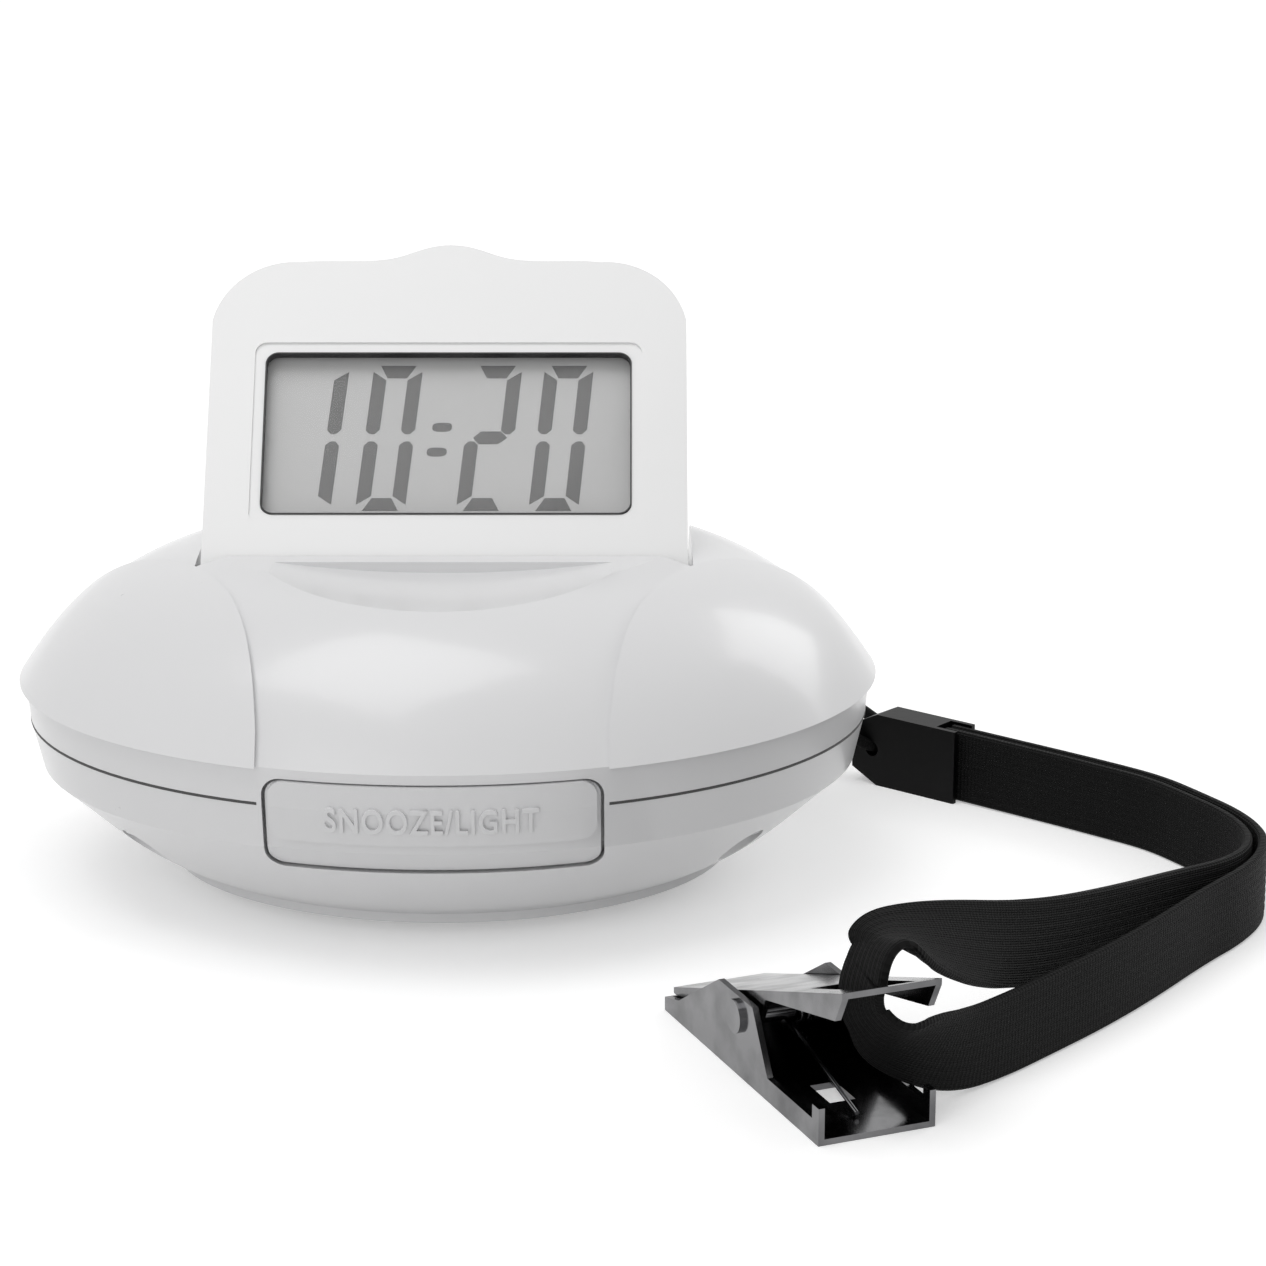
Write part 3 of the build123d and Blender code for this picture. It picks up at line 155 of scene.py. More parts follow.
# strap: one woven band folded in two; each layer follows its own route
strap = {
    "width": 9.6, "thickness": 1.2, "ribs": 9, "ribSteps": 4, "ribDepth": 0.09,
    "edgeRound": 0.3, "edgeDrop": 0.75, "clipTurn": 22.5, "steps": 14,
    "bendStart": (62, -70, 8), "bendEnd": (47.5, -83, 8),
    # centre of the band in mm, then its width direction along the clip and up
    "outer": [(65.75, 26.85, 5.0, 0, 1), (77.4, 17.4, 4.9, 0, 1), (84.7, 11.1, 4.9, 0, 1),
              (90.6, 5.5, 4.9, 0, 1), (94.6, -1.2, 4.9, 0, 1), (98.3, -7.9, 4.9, 0, 1),
              (100.1, -15.0, 4.9, 0, 1), (99.0, -22.0, 4.9, 0, 1), (95.6, -28.6, 4.9, 0, 1),
              (90.0, -35.6, 4.9, 0, 1), (82.5, -46.4, 4.9, 0, 1), (75.7, -55.1, 4.9, 0, 1),
              (69.2, -62.4, 4.9, 0, 1), (63.3, -68.9, 4.9, 0, 1), (58.0, -74.4, 5.3, 0.1, 1),
              (53.0, -78.9, 7.8, 0.45, 0.85), (48.7, -81.9, 10.2, 0.8, 0.55),
              (46.4, -80.75, 13.6, 0.9, 0.42), (47.35, -81.05, 17.0, 0.9, 0.42)],
    "inner": [(64.75, 25.65, 5.0, 0, 1), (76.3, 16.2, 4.9, 0, 1), (83.4, 9.9, 4.9, 0, 1),
              (89.2, 4.6, 4.9, 0, 1), (93.0, -1.8, 4.9, 0, 1), (96.6, -8.2, 4.9, 0, 1),
              (98.3, -15.0, 4.9, 0, 1), (97.2, -21.4, 5.0, 0, 1), (93.4, -27.4, 5.4, 0, 1),
              (86.6, -33.8, 6.3, 0, 1), (77.0, -45.2, 8.3, 0, 1), (69.6, -55.2, 10.6, -0.1, 1),
              (63.4, -63.4, 13.2, -0.3, 0.95), (58.4, -69.6, 15.8, -0.6, 0.8),
              (54.0, -74.6, 18.1, -0.85, 0.5), (50.2, -78.6, 20.0, -0.9, 0.1),
              (47.9, -80.9, 20.0, -0.9, -0.3), (47.35, -81.05, 17.0, -0.9, -0.42)],
}
clipTurn = math.radians(strap["clipTurn"])
clipAlong = Vector((math.sin(clipTurn), -math.cos(clipTurn), 0))


def bandProfile():
    # the upper half of the band's section, with ribs woven along it
    half = strap["width"] / 2
    count = strap["ribs"] * strap["ribSteps"]
    top = []
    for i in range(count + 1):
        across = -1 + 2 * i / count
        edge = max(0.0, abs(across) * half - half + strap["edgeRound"]) / strap["edgeRound"]
        rib = strap["ribDepth"] * (1 - math.cos(2 * math.pi * i / strap["ribSteps"])) / 2
        drop = math.sqrt(max(0.0, 1 - strap["edgeDrop"] * edge * edge))
        top.append((across * half, (strap["thickness"] / 2 - rib) * drop))
    return top


def makeBand(name, stations):
    centre = [Vector(s[:3]) for s in stations]
    side = [(clipAlong * s[3] + Vector((0, 0, s[4]))).normalized() for s in stations]
    rim = [c + d * strap["width"] / 2 for c, d in zip(centre, side)]
    line = readLine(name + "Line", centre, strap["steps"])
    edge = readLine(name + "Edge", rim, strap["steps"])
    top = bandProfile()
    section = top + [(a, -b) for a, b in reversed(top)]
    points = []
    for i, spot in enumerate(line):
        along = wayAt(line, i)
        across = edge[i] - spot
        across = (across - along * across.dot(along)).normalized()
        out = along.cross(across)
        points += [spot + across * a * mm + out * b * mm for a, b in section]
    mesh = meshFrom(name, points, tubeFaces(len(line), len(section)))
    layWeave(mesh, [a * mm for a, b in section], runAlong(line))
    return addObject(name, mesh), line


outerBand, outerLine = makeBand("strapOuterWebbing", strap["outer"])
innerBand, innerLine = makeBand("strapInnerWebbing", strap["inner"])
for band in (outerBand, innerBand):
    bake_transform(band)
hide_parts("strap_back_layer")
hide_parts("strap_front_layer")
print("strap layers", runAlong(outerLine)[-1], runAlong(innerLine)[-1])

# lanyard cord: from the end cap round the steel pin and back
lanyard = {
    "radius": 0.8, "sides": 20, "steps": 12,
    "route": [(56.85, 33.3, 5.0), (59.1, 36.0, 5.2), (55.5, 40.6, 7.0), (46.0, 42.4, 13.0),
              (34.9, 36.6, 16.8), (28.7, 31.8, 17.2), (31.3, 28.9, 17.6), (38.0, 34.0, 17.0),
              (46.5, 35.5, 11.0), (54.4, 30.3, 5.2), (56.65, 33.05, 5.0)],
}
lanyardLine = readLine("lanyardLine", lanyard["route"], lanyard["steps"])


def tubeMesh(name, line, radius, sides):
    # a round cord along a line, with its braid laid out in metres
    points = []
    across = (line[1] - line[0]).cross(Vector((0, 0, 1))).normalized()
    for i, spot in enumerate(line):
        along = wayAt(line, i)
        across = (across - along * across.dot(along)).normalized()
        out = along.cross(across)
        for k in range(sides):
            turn = 2 * math.pi * k / sides
            points.append(spot + (across * math.cos(turn) + out * math.sin(turn)) * radius)
    mesh = meshFrom(name, points, tubeFaces(len(line), sides))
    layWeave(mesh, [2 * math.pi * radius * c / sides for c in range(sides)], runAlong(line))
    return mesh


lanyardCord = addObject("lanyardCord", tubeMesh(
    "lanyardCord", lanyardLine, lanyard["radius"] * mm, lanyard["sides"]))
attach(lanyardCord, "base")
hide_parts("lanyard_cord")
print("lanyard cord", runAlong(lanyardLine)[-1])


# shared effects, each a node group with named sockets
def newGroup(name, inputs, outputs):
    group = bpy.data.node_groups.new(name, "ShaderNodeTree")
    for label, kind, value in inputs:
        socket = group.interface.new_socket(name=label, in_out="INPUT", socket_type=kind)
        if value is not None:
            socket.default_value = value
    for label, kind in outputs:
        group.interface.new_socket(name=label, in_out="OUTPUT", socket_type=kind)
    return group, group.nodes.new("NodeGroupInput"), group.nodes.new("NodeGroupOutput")


def feed(tree, socket, value):
    # a fixed value, or a link from another node's output
    if isinstance(value, bpy.types.NodeSocket):
        tree.links.new(value, socket)
    else:
        socket.default_value = value


def mathNode(tree, kind, a, b=None):
    node = tree.nodes.new("ShaderNodeMath")
    node.operation = kind
    feed(tree, node.inputs[0], a)
    if b is not None:
        feed(tree, node.inputs[1], b)
    return node.outputs[0]


mixSockets = {"factor": 0, "first": 6, "second": 7, "result": 2}  # the Mix node's colour sockets


def mixColour(tree, factor, a, b):
    node = tree.nodes.new("ShaderNodeMix")
    node.data_type = "RGBA"
    for key, value in (("factor", factor), ("first", a), ("second", b)):
        feed(tree, node.inputs[mixSockets[key]], value)
    return node.outputs[mixSockets["result"]]


def noiseNode(tree, place, scale, detail):
    node = tree.nodes.new("ShaderNodeTexNoise")
    node.inputs["Detail"].default_value = detail
    feed(tree, node.inputs["Scale"], scale)
    tree.links.new(place, node.inputs["Vector"])
    return node


moulded = {"slowScale": 28, "slowDetail": 4, "grainDetail": 2, "markScale": 190, "markDetail": 6,
           "markRoughness": 0.7, "noiseMiddle": 0.5}


def buildMouldedSurface():
    # fine moulded grain, slow changes of tone, and faint handling marks
    group, start, end = newGroup(
        "mouldedSurface",
        [("Colour", "NodeSocketColor", (0.8, 0.8, 0.8, 1)), ("Tone Change", "NodeSocketFloat", 0.03),
         ("Grain Scale", "NodeSocketFloat", 1800.0), ("Roughness", "NodeSocketFloat", 0.3),
         ("Marks", "NodeSocketFloat", 0.06)],
        [("Colour", "NodeSocketColor"), ("Roughness", "NodeSocketFloat"), ("Height", "NodeSocketFloat")])
    place = group.nodes.new("ShaderNodeTexCoord").outputs["Object"]
    slow = noiseNode(group, place, moulded["slowScale"], moulded["slowDetail"])
    grain = noiseNode(group, place, start.outputs["Grain Scale"], moulded["grainDetail"])
    marks = noiseNode(group, place, moulded["markScale"], moulded["markDetail"])
    marks.inputs["Roughness"].default_value = moulded["markRoughness"]
    shift = mathNode(group, "SUBTRACT", slow.outputs["Fac"], moulded["noiseMiddle"])
    gain = mathNode(group, "ADD", mathNode(group, "MULTIPLY", shift, start.outputs["Tone Change"]), 1.0)
    scaled = group.nodes.new("ShaderNodeVectorMath")
    scaled.operation = "SCALE"
    group.links.new(start.outputs["Colour"], scaled.inputs[0])
    group.links.new(gain, scaled.inputs["Scale"])
    group.links.new(scaled.outputs[0], end.inputs["Colour"])
    spread = mathNode(group, "MULTIPLY", mathNode(group, "SUBTRACT", marks.outputs["Fac"],
                                                  moulded["noiseMiddle"]), start.outputs["Marks"])
    group.links.new(mathNode(group, "ADD", start.outputs["Roughness"], spread), end.inputs["Roughness"])
    group.links.new(grain.outputs["Fac"], end.inputs["Height"])
    return group


worn = {"stretch": (1, 0.06, 1), "lineDetail": 5, "patchScale": 160, "patchDetail": 5,
        "patchStart": 0.42, "patchGain": 2.4, "dullRoughness": 0.12}


def buildWornMetal():
    # plated or drawn metal: fine lines one way, and dull patches
    group, start, end = newGroup(
        "wornMetal",
        [("Colour", "NodeSocketColor", (0.6, 0.6, 0.6, 1)),
         ("Dull Colour", "NodeSocketColor", (0.4, 0.4, 0.4, 1)),
         ("Line Scale", "NodeSocketFloat", 900.0), ("Roughness", "NodeSocketFloat", 0.25)],
        [("Colour", "NodeSocketColor"), ("Roughness", "NodeSocketFloat"), ("Height", "NodeSocketFloat")])
    place = group.nodes.new("ShaderNodeTexCoord").outputs["Object"]
    stretch = group.nodes.new("ShaderNodeMapping")
    stretch.inputs["Scale"].default_value = worn["stretch"]
    group.links.new(place, stretch.inputs["Vector"])
    lines = noiseNode(group, stretch.outputs[0], start.outputs["Line Scale"], worn["lineDetail"])
    patches = noiseNode(group, place, worn["patchScale"], worn["patchDetail"])
    dull = mathNode(group, "MULTIPLY", mathNode(group, "SUBTRACT", patches.outputs["Fac"],
                                                worn["patchStart"]), worn["patchGain"])
    clamped = group.nodes.new("ShaderNodeClamp")
    group.links.new(dull, clamped.inputs["Value"])
    share = clamped.outputs[0]
    group.links.new(mixColour(group, share, start.outputs["Colour"], start.outputs["Dull Colour"]),
                    end.inputs["Colour"])
    rough = mathNode(group, "ADD", start.outputs["Roughness"],
                     mathNode(group, "MULTIPLY", share, worn["dullRoughness"]))
    group.links.new(rough, end.inputs["Roughness"])
    group.links.new(lines.outputs["Fac"], end.inputs["Height"])
    return group


woven = {"pickShift": 0.25, "ribShare": 0.6, "pickShare": 0.4, "fuzzScale": 2600, "fuzzDetail": 4,
         "fuzzHeight": 0.35, "fuzzRoughness": 0.2, "roughness": 0.55}


def buildWovenRibs():
    # lengthwise ribs crossed by picks, from the band's own width and run in metres
    group, start, end = newGroup(
        "wovenRibs",
        [("Vector", "NodeSocketVector", None), ("Thread", "NodeSocketColor", (0.0035, 0.0035, 0.0035, 1)),
         ("Gap Shade", "NodeSocketColor", (0.0004, 0.0004, 0.0004, 1)), ("Rib Pitch", "NodeSocketFloat", 0.00053),
         ("Pick Pitch", "NodeSocketFloat", 0.0007)],
        [("Colour", "NodeSocketColor"), ("Roughness", "NodeSocketFloat"), ("Height", "NodeSocketFloat")])
    parts = group.nodes.new("ShaderNodeSeparateXYZ")
    group.links.new(start.outputs["Vector"], parts.inputs[0])
    turn = 2 * math.pi
    ribCount = mathNode(group, "DIVIDE", parts.outputs["X"], start.outputs["Rib Pitch"])
    rib = mathNode(group, "SINE", mathNode(group, "MULTIPLY", ribCount, turn))
    pickCount = mathNode(group, "DIVIDE", parts.outputs["Y"], start.outputs["Pick Pitch"])
    shifted = mathNode(group, "ADD", pickCount,
                       mathNode(group, "MULTIPLY", mathNode(group, "SIGN", rib), woven["pickShift"]))
    pick = mathNode(group, "SINE", mathNode(group, "MULTIPLY", shifted, turn))
    height = mathNode(
        group, "ADD", mathNode(group, "MULTIPLY", mathNode(group, "ABSOLUTE", rib), woven["ribShare"]),
        mathNode(group, "MULTIPLY", mathNode(group, "ABSOLUTE", pick), woven["pickShare"]))
    fuzz = noiseNode(group, start.outputs["Vector"], woven["fuzzScale"], woven["fuzzDetail"]).outputs["Fac"]
    mixed = mathNode(group, "ADD", height, mathNode(group, "MULTIPLY", fuzz, woven["fuzzHeight"]))
    # the hollows between threads take the darker gap colour: painted shade in the weave
    group.links.new(mixColour(group, height, start.outputs["Gap Shade"], start.outputs["Thread"]),
                    end.inputs["Colour"])
    rough = mathNode(group, "MULTIPLY", fuzz, woven["fuzzRoughness"])
    group.links.new(mathNode(group, "ADD", rough, woven["roughness"]), end.inputs["Roughness"])
    group.links.new(mixed, end.inputs["Height"])
    return group


mouldedSurface = buildMouldedSurface()
wornMetal = buildWornMetal()
wovenRibs = buildWovenRibs()
print("shared effects")

screen = {"white": 255, "gamma": 2.2}
bumpDepth = {"plastic": 0.0001, "metal": 0.00005, "webbing": 0.0003, "cell": 0.00005}
gloss = {"coatRoughness": 0.12, "webbingShine": 0.12, "webbingBump": 0.7}


def greyOf(level, tint=(0, 0, 0)):
    # a colour as a screen shows it, turned to the shader's linear scale
    return tuple((max(0, level + t) / screen["white"]) ** screen["gamma"] for t in tint) + (1,)


def newMaterial(name):
    material = bpy.data.materials.new(name)
    material.use_nodes = True
    return material, material.node_tree, material.node_tree.nodes["Principled BSDF"]


def addEffect(tree, shader, group, settings, bump, depth):
    # one shared effect with its own settings, linked to colour, roughness and bump
    effect = tree.nodes.new("ShaderNodeGroup")
    effect.node_tree = group
    for label, value in settings.items():
        feed(tree, effect.inputs[label], value)
    tree.links.new(effect.outputs["Colour"], shader.inputs["Base Color"])
    tree.links.new(effect.outputs["Roughness"], shader.inputs["Roughness"])
    node = tree.nodes.new("ShaderNodeBump")
    node.inputs["Strength"].default_value = bump
    node.inputs["Distance"].default_value = depth
    tree.links.new(effect.outputs["Height"], node.inputs["Height"])
    tree.links.new(node.outputs["Normal"], shader.inputs["Normal"])


def plasticMaterial(name, colour, roughness=0.3, coat=0.0, bump=0.03, grain=1800, marks=0.03,
                    tone=0.015, shine=0.5):
    material, tree, shader = newMaterial(name)
    settings = {"Colour": colour, "Tone Change": tone, "Grain Scale": grain, "Roughness": roughness,
                "Marks": marks}
    addEffect(tree, shader, mouldedSurface, settings, bump, bumpDepth["plastic"])
    shader.inputs["Specular IOR Level"].default_value = shine
    shader.inputs["Coat Weight"].default_value = coat
    shader.inputs["Coat Roughness"].default_value = gloss["coatRoughness"]
    return material


def metalMaterial(name, colour, dull, roughness, lines=900, bump=0.05):
    material, tree, shader = newMaterial(name)
    settings = {"Colour": colour, "Dull Colour": dull, "Line Scale": lines, "Roughness": roughness}
    addEffect(tree, shader, wornMetal, settings, bump, bumpDepth["metal"])
    shader.inputs["Metallic"].default_value = 1.0
    return material


def webbingMaterial(name, uvName, ribPitch, pickPitch):
    material, tree, shader = newMaterial(name)
    source = tree.nodes.new("ShaderNodeUVMap")
    source.uv_map = uvName
    settings = {"Rib Pitch": ribPitch, "Pick Pitch": pickPitch, "Vector": source.outputs["UV"]}
    addEffect(tree, shader, wovenRibs, settings, gloss["webbingBump"], bumpDepth["webbing"])
    shader.inputs["Specular IOR Level"].default_value = gloss["webbingShine"]
    return material


# one finish for each material slot of the record
finishes = {
    "body_shell": plasticMaterial("greyGlossShell", greyOf(222, (0, 0, 1)), 0.28, 0.35),
    "display_casing": plasticMaterial("whiteDisplayCase", greyOf(235, (0, 0, 0)), 0.34, 0.15),
    "snooze_plastic": plasticMaterial("snoozeBarPlastic", greyOf(218, (0, 0, 1)), 0.34, 0.2),
    "dark_plastic": plasticMaterial("darkPartPlastic", greyOf(44, (0, 0, 2)), 0.5, bump=0.12),
    "button_grey": plasticMaterial("setKeyPlastic", greyOf(146, (0, 1, 3)), 0.4, bump=0.08),
    "cap_plastic": plasticMaterial("endCapPlastic", greyOf(9, (0, 0, 1)), 0.4, bump=0.15, grain=900,
                                   shine=0.15),
    "board_green": plasticMaterial("circuitBoardMask", (0.012, 0.1, 0.04, 1), 0.35, 0.3, grain=500, tone=0.3),
    "diffuser": plasticMaterial("backlightSheet", (0.85, 0.88, 0.8, 1), 0.5),
    "ribbon": plasticMaterial("amberRibbonFilm", (0.42, 0.2, 0.04, 1), 0.3, tone=0.2),
    "rubber_strip": plasticMaterial("contactStripRubber", (0.16, 0.1, 0.12, 1), 0.7, bump=0.2),
    "cell_wrap": plasticMaterial("cellSleeve", (0.04, 0.1, 0.2, 1), 0.25, 0.4, tone=0.1),
    "nickel": metalMaterial("platedNickel", (0.2, 0.2, 0.205, 1), (0.06, 0.06, 0.063, 1), 0.14),
    "steel": metalMaterial("screwSteel", (0.5, 0.5, 0.51, 1), (0.33, 0.33, 0.34, 1), 0.3),
    "motor_case": metalMaterial("drawnMotorCan", (0.55, 0.55, 0.56, 1), (0.4, 0.4, 0.41, 1), 0.3, 500),
    "weight_metal": metalMaterial("sinteredWeight", (0.3, 0.3, 0.31, 1), (0.2, 0.2, 0.21, 1), 0.45, 300, 0.2),
    "black_webbing": webbingMaterial("blackWebbing", "weave", 0.00053, 0.0011),
    "black_cord": webbingMaterial("blackBraid", "weave", 0.0004, 0.0006),
}

# the grey cell behind the window, with a slow shade across it
cell = {"grey": 181, "tone": 0.22, "grain": 2600, "roughness": 0.35, "bump": 0.03}
cellMaterial, tree, shader = newMaterial("greyCellFace")
addEffect(tree, shader, mouldedSurface, {
    "Colour": greyOf(cell["grey"]), "Tone Change": cell["tone"], "Grain Scale": cell["grain"],
    "Roughness": cell["roughness"]}, cell["bump"], bumpDepth["cell"])
finishes["lcd"] = cellMaterial

# clear window: almost see-through, with a thin gloss
lens = {"roughness": 0.04, "alpha": 0.08}
lensMaterial, tree, shader = newMaterial("clearWindow")
shader.inputs["Base Color"].default_value = (1, 1, 1, 1)
shader.inputs["Roughness"].default_value = lens["roughness"]
shader.inputs["Alpha"].default_value = lens["alpha"]
finishes["clear_lens"] = lensMaterial

for entry in frame["record"]["subparts"]:
    holder = nodes[entry["node"]]
    if not holder.material_slots:
        holder.data.materials.append(finishes[entry["material_slot"]])
    for place in holder.material_slots:
        place.material = finishes[entry["material_slot"]]
for band in (outerBand, innerBand):
    band.data.materials.append(finishes["black_webbing"])
lanyardCord.data.materials.append(finishes["black_cord"])
print("materials on", len(nodes), "nodes")


# display: segments of the digits, on the cell behind the window
display = {"base": (0, -7.1, 42.3), "leanDeg": 38.0, "cellDepth": 2.5, "lift": 0.03, "sinkShare": 0.6}
digits = {
    "width": 6.15, "height": 19.9, "bottom": 6.95, "stroke": 1.75, "gap": 0.28, "middleGap": 1.0,
    "slant": 0.095, "centres": [-16.5, -7.3, 5.15, 14.1], "shown": ["bc", "abcdef", "abged", "abcdef"],
    "dots": [(-0.9, 18.35), (-1.2, 14.95)], "dotSize": (2.5, 1.25), "dotSides": 20, "dotTurn": 0.05,
    "dotSquareness": (0.6, 0.8),
    # corners of a stroke as shares of its width; mitre is a share of the gap
    "cut": 0.32, "near": 0.3, "nearWide": 0.35, "half": 0.5, "barTip": 0.6, "far": 0.65,
    "farWide": 0.7, "barOver": 1.1, "mitre": 0.4,
}
lean = math.radians(display["leanDeg"])
panelUp = Vector((0, math.sin(lean), math.cos(lean)))
panelOut = Vector((0, -math.cos(lean), math.sin(lean)))
panelBase = Vector(display["base"])


def onPanel(x, up, out):
    return (panelBase + Vector((x, 0, 0)) + panelUp * up + panelOut * out) * mm


def segmentShapes():
    # outlines of the seven strokes, about the digit's middle
    w, h, t, g = (digits[k] for k in ("width", "height", "stroke", "gap"))
    cut, near, nearWide, half, barTip, far, farWide, barOver = (t * digits[k] for k in (
        "cut", "near", "nearWide", "half", "barTip", "far", "farWide", "barOver"))
    r, top, mid, mitre = w / 2, h / 2, digits["middleGap"] / 2, g * digits["mitre"]
    return {
        "a": [(-r + cut + g, top), (r - cut - g, top), (r - t - mitre, top - t), (-r + t + mitre, top - t)],
        "d": [(-r + cut + g, -top), (-r + t + mitre, -top + t), (r - t - mitre, -top + t),
              (r - cut - g, -top)],
        "b": [(r, top - cut - g), (r, mid + nearWide), (r - nearWide, mid), (r - farWide, mid),
              (r - t, mid + near), (r - t, top - t - g)],
        "c": [(r, -top + cut + g), (r - t, -top + t + g), (r - t, -mid - near), (r - far, -mid),
              (r - near, -mid), (r, -mid - nearWide)],
        "f": [(-r, top - cut - g), (-r + t, top - t - g), (-r + t, mid + nearWide), (-r + far, mid),
              (-r + near, mid), (-r, mid + near)],
        "e": [(-r, -top + cut + g), (-r, -mid - nearWide), (-r + near, -mid), (-r + farWide, -mid),
              (-r + t, -mid - near), (-r + t, -top + t + g)],
        "g": [(-r + barTip, 0), (-r + barOver, half), (r - t, half), (r - half, 0), (r - barOver, -half),
              (-r + t, -half)],
    }


def squared(value, squareness):
    # a sine or cosine that swells towards a square outline
    return math.copysign(abs(value) ** squareness, value)


def digitsMesh():
    shapes = segmentShapes()
    level = -display["cellDepth"] + display["lift"]
    middle = digits["bottom"] + digits["height"] / 2
    outlines = []
    for centre, shown in zip(digits["centres"], digits["shown"]):
        outlines += [[(centre + x, middle + y) for x, y in shapes[key]] for key in shown]
    halfWide, halfHigh = (size / 2 for size in digits["dotSize"])
    wide, high = digits["dotSquareness"]
    turns = [math.pi * 2 * i / digits["dotSides"] + digits["dotTurn"] for i in range(digits["dotSides"])]
    for x, up in digits["dots"]:
        outlines.append([(x + halfWide * squared(math.cos(turn), wide),
                          up + halfHigh * squared(math.sin(turn), high)) for turn in turns])
    sink = panelOut * -display["lift"] * display["sinkShare"] * mm
    pairs = []
    for outline in outlines:
        upper = [onPanel(x + digits["slant"] * (up - middle), up, level) for x, up in outline]
        pairs.append((upper, [p + sink for p in upper]))
    return prismMesh("cellDigits", pairs)


segments = addObject("cellDigits", digitsMesh())
segments.data.materials.append(plasticMaterial("darkSegment", greyOf(40, (0, 0, 0)), 0.5, tone=0.12))
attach(segments, "display")
print("digits", len(segments.data.polygons), "faces")

# window wall shade: a dark sheet laid on the walls of the window's recess, painted shade standing in for the
# shade that falls there
wallShade = {"halfWidth": 22.82, "low": 5.53, "high": 27.57, "corner": 1.6, "cornerSteps": 8,
          "front": -0.12, "back": -1.36, "wall": 0.16}


def roundedOutline(halfWidth, low, high, corner):
    spots = []
    steps = wallShade["cornerSteps"]
    for cx, cy, start in ((halfWidth - corner, high - corner, 0), (-halfWidth + corner, high - corner, 90),
                          (-halfWidth + corner, low + corner, 180), (halfWidth - corner, low + corner, 270)):
        for i in range(steps + 1):
            turn = math.radians(start + 90 * i / steps)
            spots.append((cx + corner * math.cos(turn), cy + corner * math.sin(turn)))
    return spots


def wallShadeMesh():
    halfWidth, low, high, corner, w = (wallShade[k] for k in ("halfWidth", "low", "high", "corner", "wall"))
    outer = roundedOutline(halfWidth, low, high, corner)
    inner = roundedOutline(halfWidth - w, low + w, high - w, corner - w)
    front, back = wallShade["front"], wallShade["back"]
    rings = [(outer, front), (outer, back), (inner, back), (inner, front)]
    n = len(outer)
    points = [onPanel(x, up, out) for ring, out in rings for x, up in ring]
    faces = []
    for r in range(len(rings)):
        here, there = r * n, (r + 1) % len(rings) * n
        faces += [(here + c, here + (c + 1) % n, there + (c + 1) % n, there + c) for c in range(n)]
    return meshFrom("windowWallPaintedShade", points, faces, smooth=False)


wallShadeRing = addObject("windowWallPaintedShade", wallShadeMesh())
# its near-black colour is painted shade on the recess walls
wallShadeRing.data.materials.append(plasticMaterial("wallPaintedShadeBlack", greyOf(30, (0, 0, 1)), 0.45, tone=0.1))
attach(wallShadeRing, "display")
print("window wall painted shade")

# snooze bar: raised words, laid on the bar's curved face
body = {"halfLength": 52.5, "halfDepth": 43.5, "seamLength": 52.1, "seamDepth": 43.1,
        "lowerLength": 50.8, "lowerDepth": 41.8, "crease": 26.0, "seam": 21.4, "lowerCrease": 15.7}
legend = {"text": "SNOOZE/LIGHT", "size": 4.3, "spread": 1.12, "width": 24.6, "middle": 0.0, "bottom": 18.9,
          "rise": 0.62, "depth": 0.5, "embolden": 0.04, "bevel": 0.05, "curveSteps": 8}


def bandDepth(x, z, grow):
    # how far the front band lies from the middle plane at one height
    if z > body["seam"]:
        share = (z - body["seam"]) / (body["crease"] - body["seam"])
        length = body["seamLength"] + share * (body["halfLength"] - body["seamLength"])
        depth = body["seamDepth"] + share * (body["halfDepth"] - body["seamDepth"])
    else:
        share = (z - body["lowerCrease"]) / (body["seam"] - body["lowerCrease"])
        length = body["lowerLength"] + share * (body["seamLength"] - body["lowerLength"])
        depth = body["lowerDepth"] + share * (body["seamDepth"] - body["lowerDepth"])
    return (depth + grow) * math.sqrt(1 - (x / (length + grow)) ** 2)


words = bpy.data.curves.new("snoozeWords", "FONT")
words.body = legend["text"]
words.size = legend["size"] * mm
words.space_character = legend["spread"]
words.align_x = "CENTER"
words.resolution_u = legend["curveSteps"]
words.extrude = legend["depth"] / 2 * mm
words.bevel_depth = legend["bevel"] * mm
words.offset = legend["embolden"] * mm
wordsHolder = addObject("snoozeWordsHolder", words)
wordsMesh = bpy.data.meshes.new_from_object(wordsHolder)
bpy.data.objects.remove(wordsHolder)
low = min(v.co.x for v in wordsMesh.vertices)
high = max(v.co.x for v in wordsMesh.vertices)
stretch = legend["width"] * mm / (high - low)
bm = bmesh.new()
bm.from_mesh(wordsMesh)
bmesh.ops.triangulate(bm, faces=bm.faces[:])
for v in bm.verts:
    x = (v.co.x - (low + high) / 2) * stretch / mm + legend["middle"]
    z = legend["bottom"] + v.co.y / mm
    y = -bandDepth(x, z, legend["rise"]) - v.co.z / mm
    v.co = Vector((x, y, z)) * mm
bmesh.ops.recalc_face_normals(bm, faces=bm.faces[:])
bm.to_mesh(wordsMesh)
bm.free()
raisedWords = addObject("snoozeRaisedWords", wordsMesh)
wordsMesh.materials.clear()
wordsMesh.materials.append(finishes["snooze_plastic"])
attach(raisedWords, "snooze")
print("raised words")

# key words: small raised words on the pocket's floor, read from behind
keyWords = {
    "size": 2.3, "depth": 0.36, "spread": 1.1, "curveSteps": 3, "rayStart": 60,
    "shown": [("TIME", -18, 13.4), ("ALARM", -6, 13.4), ("HOUR", 6, 13.4), ("MIN", 18, 13.4),
              ("ON", -9.6, 6.4), ("OFF", 7.4, 6.4)],
}


def floorBelow(shell, x, y):
    # the pocket's floor under one spot, and the shell's way out there
    toShell = shell.matrix_world.inverted()
    start = toShell @ (Vector((x, y, keyWords["rayStart"])) * mm)
    down = (toShell.to_3x3() @ Vector((0, 0, -1))).normalized()
    hit, spot, normal, _ = shell.ray_cast(start, down)
    if not hit:
        return None, None
    return shell.matrix_world @ spot, (shell.matrix_world.to_3x3() @ normal).normalized()


